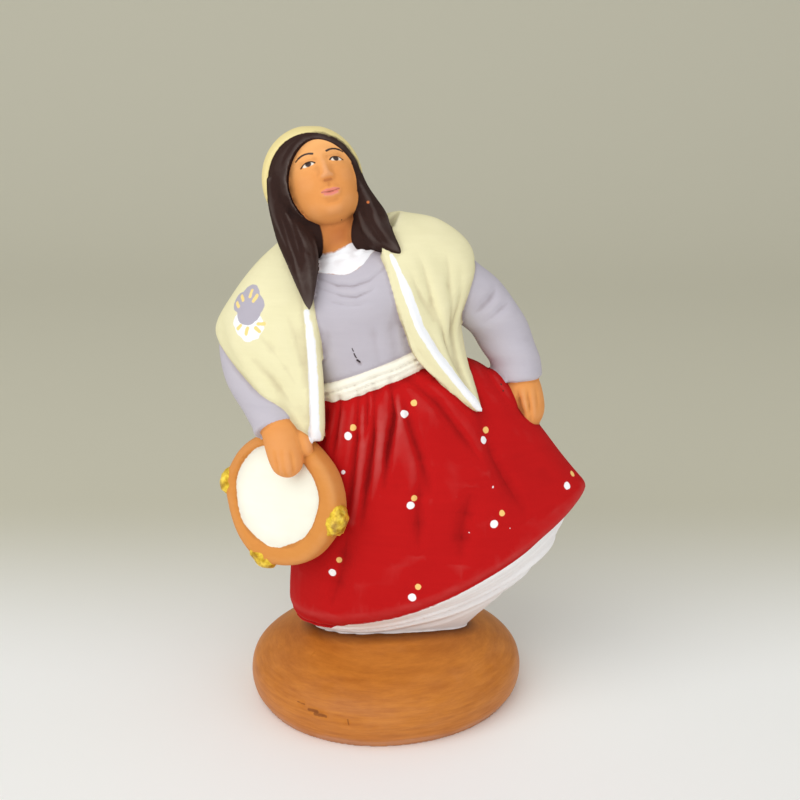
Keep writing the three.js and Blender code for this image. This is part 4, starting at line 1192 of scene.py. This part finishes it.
WHITE_SPECKS = [
    ((-6.4, -9.6, 40.1), 0.3), ((16.1, -10.6, 38.1), 0.14), ((18.5, -10.6, 31.6), 0.07), ((12.5, -12.2, 31.4), 0.07),
]
CHIPS = [
    ([(-11.6, -18.7, 5.4), (-10.4, -19.4, 5.3)], 0.24), ([(-10.7, -19.3, 5.0), (-9.0, -20.1, 5.0)], 0.22),
    ([(-13.4, -17.4, 5.9), (-12.3, -18.1, 5.8)], 0.1), ([(-5.6, -21.0, 5.0), (-5.5, -21.2, 4.3)], 0.1),
]
SCRATCHES = [
    ([(-4.9, -9.2, 59.2), (-4.7, -9.2, 58.8)], 0.09), ([(-4.6, -9.2, 58.4), (-4.2, -9.1, 57.7)], 0.1),
    ([(-4.1, -9.0, 57.3), (-3.8, -8.9, 57.1)], 0.18),
]
DARK_SPECKS = [
    ((-12, -2, 89.2), 0.2), ((-6.1, -5.6, 77.2), 0.12), ((17.5, -3.9, 52.2), 0.18), ((17.8, -4.4, 51.3), 0.14),
]
BARE_SPECK = ((-2.5, -4.3, 79.8), 0.22)
paint_over(clay_lines([(path, 0.28) for path in STITCHES]), tint(250, 220, 140), 0.7)
paint_over(dabs([(spot, 0.6) for spot in DOTS_WHITE] + WHITE_SPECKS), tint(255, 255, 255), 0.6)
paint_over(dabs([(spot, 0.48) for spot in DOTS_YELLOW]), tint(252, 206, 122), 0.6)
paint_over(times(clay_lines(CHIPS), 0.65), tint(112, 58, 26), 0.8)
paint_over(clay_lines(SCRATCHES), tint(58, 44, 46), 0.8)
paint_over(dabs(DARK_SPECKS), tint(60, 36, 28), 0.8)
paint_over(dabs([BARE_SPECK]), tint(206, 112, 52), 0.8)

# The face is painted in the head's own frame, seen from its front
to_head = add_node("Mapping", {
    "Location": tuple(v * MM for v in HEAD_CENTRE), "Rotation": tuple(head.to_euler()), "Scale": (MM, MM, MM),
    "Vector": coordinates,
}, vector_type="TEXTURE")
apart = add_node("SeparateXYZ", {0: to_head.outputs["Vector"]}).outputs
flat_face = add_node("CombineXYZ", {"X": apart["X"], "Z": apart["Z"]}).outputs[0]
in_front = times(maths("LESS_THAN", apart["Y"], -4), masks["skin"])


def front(height, *points):
    return [(FACE_MIDDLE + x, 0, height + z) for x, z in points]


def paint_face(strokes, paint, gloss, strength=1):
    mask = times(brush_lines(strokes, flat_face), in_front)
    paint_over(times(mask, strength) if strength < 1 else mask, paint, gloss)


# Painted light: the face is painted lighter the higher up it is, as if lit from above
paint_over(times(rise(apart["Z"], 0.14, 0.3), in_front), tint(255, 190, 120), 0.78)
eye_whites, dark_lines = [], []
for s in (-1, 1):
    eye = s * EYE_APART
    lash, brow = (
        [(eye + s * x, z) for x, z in row] for row in (
            ((-0.92, -0.14), (-0.6, 0.18), (-0.2, 0.36), (0.25, 0.38), (0.7, 0.2), (1.05, -0.1)),
            ((-1.0, -0.1), (-0.5, 0.1), (0.0, 0.2), (0.5, 0.18), (1.0, 0.02)),
        )
    )
    eye_whites.append((front(EYE_HEIGHT, (eye - EYE_HALF, -0.06), (eye + EYE_HALF, -0.06)), 0.33))
    dark_lines += [
        (front(EYE_HEIGHT, (eye, -0.04), (eye, 0.06)), 0.42),
        (front(EYE_HEIGHT, *lash), 0.13),
        (front(BROW_HEIGHT, *brow), 0.16),
        (front(BROW_HEIGHT, (eye + s, 0.02), (eye + s * 1.45, -0.24)), 0.11),
    ]
LIPS = [
    (front(MOUTH_HEIGHT, (-1.2, 0.12), (-0.5, 0.24), (0, 0.16), (0.5, 0.24), (1.2, 0.12)), 0.18),
    (front(MOUTH_HEIGHT, (-0.8, -0.2), (0, -0.34), (0.8, -0.2)), 0.3),
]
MOUTH_LINE = (front(MOUTH_HEIGHT, (-1.3, 0.14), (-0.6, 0), (0.6, 0), (1.3, 0.14)), 0.06)
# Painted shade under the nose: a soft darker stroke along its base
paint_face([(front(NOSE_BASE, (-0.45, -0.08), (0.45, -0.08)), 0.16)], tint(196, 116, 66), 0.75, 0.5)
paint_face(LIPS, tint(228, 132, 112), 0.6)
paint_face([MOUTH_LINE], tint(150, 78, 62), 0.6, 0.7)
paint_face(eye_whites, tint(244, 230, 212), 0.5)
paint_face(dark_lines, tint(46, 28, 24), 0.5)

# Painted shade: the hollows are painted darker, less so in the white cloth, and ridges are painted a little lighter
painted_hollow_shade = maths("MULTIPLY", attribute("hollow"), 2.2, clamp=True)
lighter_ridges = rise(attribute("hollow"), -3, -0.25)
white_cloth = maths("MULTIPLY_ADD", masks["petticoat"], -0.8, 1)
hollow_shade_colour = mix(times(painted_hollow_shade, white_cloth), (1, 1, 1, 1), (0.5, 0.42, 0.4, 1))
# The painted shade of the hollows is multiplied into the colour
shade_painted_colour = mix(1, colour, hollow_shade_colour, blend_type="MULTIPLY")
relief = maths("ADD", times(streaks, 0.7), times(noise_node(2600, 2), 0.4))
glitter = times(times(noise_node(1700, 2), masks["gold"]), 9)
bump = add_node("Bump", {"Strength": 0.3, "Distance": 0.00005, "Height": maths("ADD", relief, glitter)})
shader = paint_tree.nodes["Principled BSDF"]
for socket, value in {
    "Base Color": mix(times(lighter_ridges, 0.1), shade_painted_colour, tint(250, 235, 225)), "Roughness": roughness,
    "Metallic": times(masks["gold"], 0.35), "Normal": bump.outputs["Normal"],
}.items():
    paint_tree.links.new(value, shader.inputs[socket])
shader.inputs["Specular IOR Level"].default_value = 0.2
santon.data.materials.clear()
santon.data.materials.append(material)

# THE TABLE: a plain pale floor that sweeps up behind her, under soft studio light.
SWEEP_START, SWEEP_ROUND, SWEEP_LENGTH, SWEEP_WIDTH = 0.35, 0.35, 3.0, 3.2
FLOOR_FRONT = -0.9
FLOOR_GAP = 0.00002
bpy.ops.object.select_all(action="DESELECT")
bpy.ops.mesh.primitive_grid_add(x_subdivisions=40, y_subdivisions=80, size=1)
floor = bpy.context.object
floor.name = "floor"
across, back = read(floor.data.vertices, "co").T[:2]
run = (back + 0.5) * SWEEP_LENGTH + FLOOR_FRONT
angle = np.clip((run - SWEEP_START) / SWEEP_ROUND, 0, math.pi / 2)
climb = np.maximum(run - SWEEP_START - SWEEP_ROUND * math.pi / 2, 0)
depth = np.minimum(run, SWEEP_START) + SWEEP_ROUND * np.sin(angle)
height = SWEEP_ROUND * (1 - np.cos(angle)) + climb
floor.data.vertices.foreach_set("co", spots_at(across * SWEEP_WIDTH, depth, height - FLOOR_GAP).ravel())
floor.data.update()
bpy.ops.object.shade_smooth()
paper = bpy.data.materials.new("pale_paper")
paper.use_nodes = True
paper_tree = paper.node_tree
place = add_node("TexCoord", tree=paper_tree).outputs["Object"]
backward = add_node("SeparateXYZ", {0: place}, paper_tree).outputs["Y"]
deeper = add_node(
    "MapRange", {"From Min": -0.005, "From Max": 0.085, "Value": backward}, paper_tree, interpolation_type="SMOOTHSTEP",
).outputs["Result"]
paper_colour = add_node(
    "Mix", {"Factor": deeper, "A": tint(250, 249, 246), "B": tint(206, 202, 182)}, paper_tree, data_type="RGBA",
).outputs["Result"]
paper_shader = paper_tree.nodes["Principled BSDF"]
paper_tree.links.new(paper_colour, paper_shader.inputs["Base Color"])
paper_shader.inputs["Roughness"].default_value = 0.9
floor.data.materials.append(paper)


def soft_light(name, place, aim, size, power):
    bpy.ops.object.light_add(type="AREA", location=place)
    light = bpy.context.object
    light.name = name
    light.data.size = size
    light.data.energy = power
    light.rotation_euler = (Vector(aim) - Vector(place)).to_track_quat("-Z", "Y").to_euler()


soft_light("window_light", (-0.35, -0.5, 0.55), (0, 0, 0.04), 0.9, 4.25)
soft_light("fill_light", (0.55, -0.45, 0.3), (0, 0, 0.05), 0.7, 0.8)
world = bpy.data.worlds.new("studio")
bpy.context.scene.world = world
world.use_nodes = True
sky = world.node_tree.nodes["Background"].inputs
sky["Color"].default_value, sky["Strength"].default_value = (0.9, 0.92, 0.95, 1), 0.6
bpy.context.scene.view_settings.view_transform = "Standard"
bpy.ops.object.camera_add(location=(0.00216, -0.1826, 0.102), rotation=(math.radians(73.7), 0, 0))
camera = bpy.context.object
camera.data.lens = 54.9
camera.data.sensor_width = 36
camera.data.clip_start = 0.005
bpy.context.scene.camera = camera
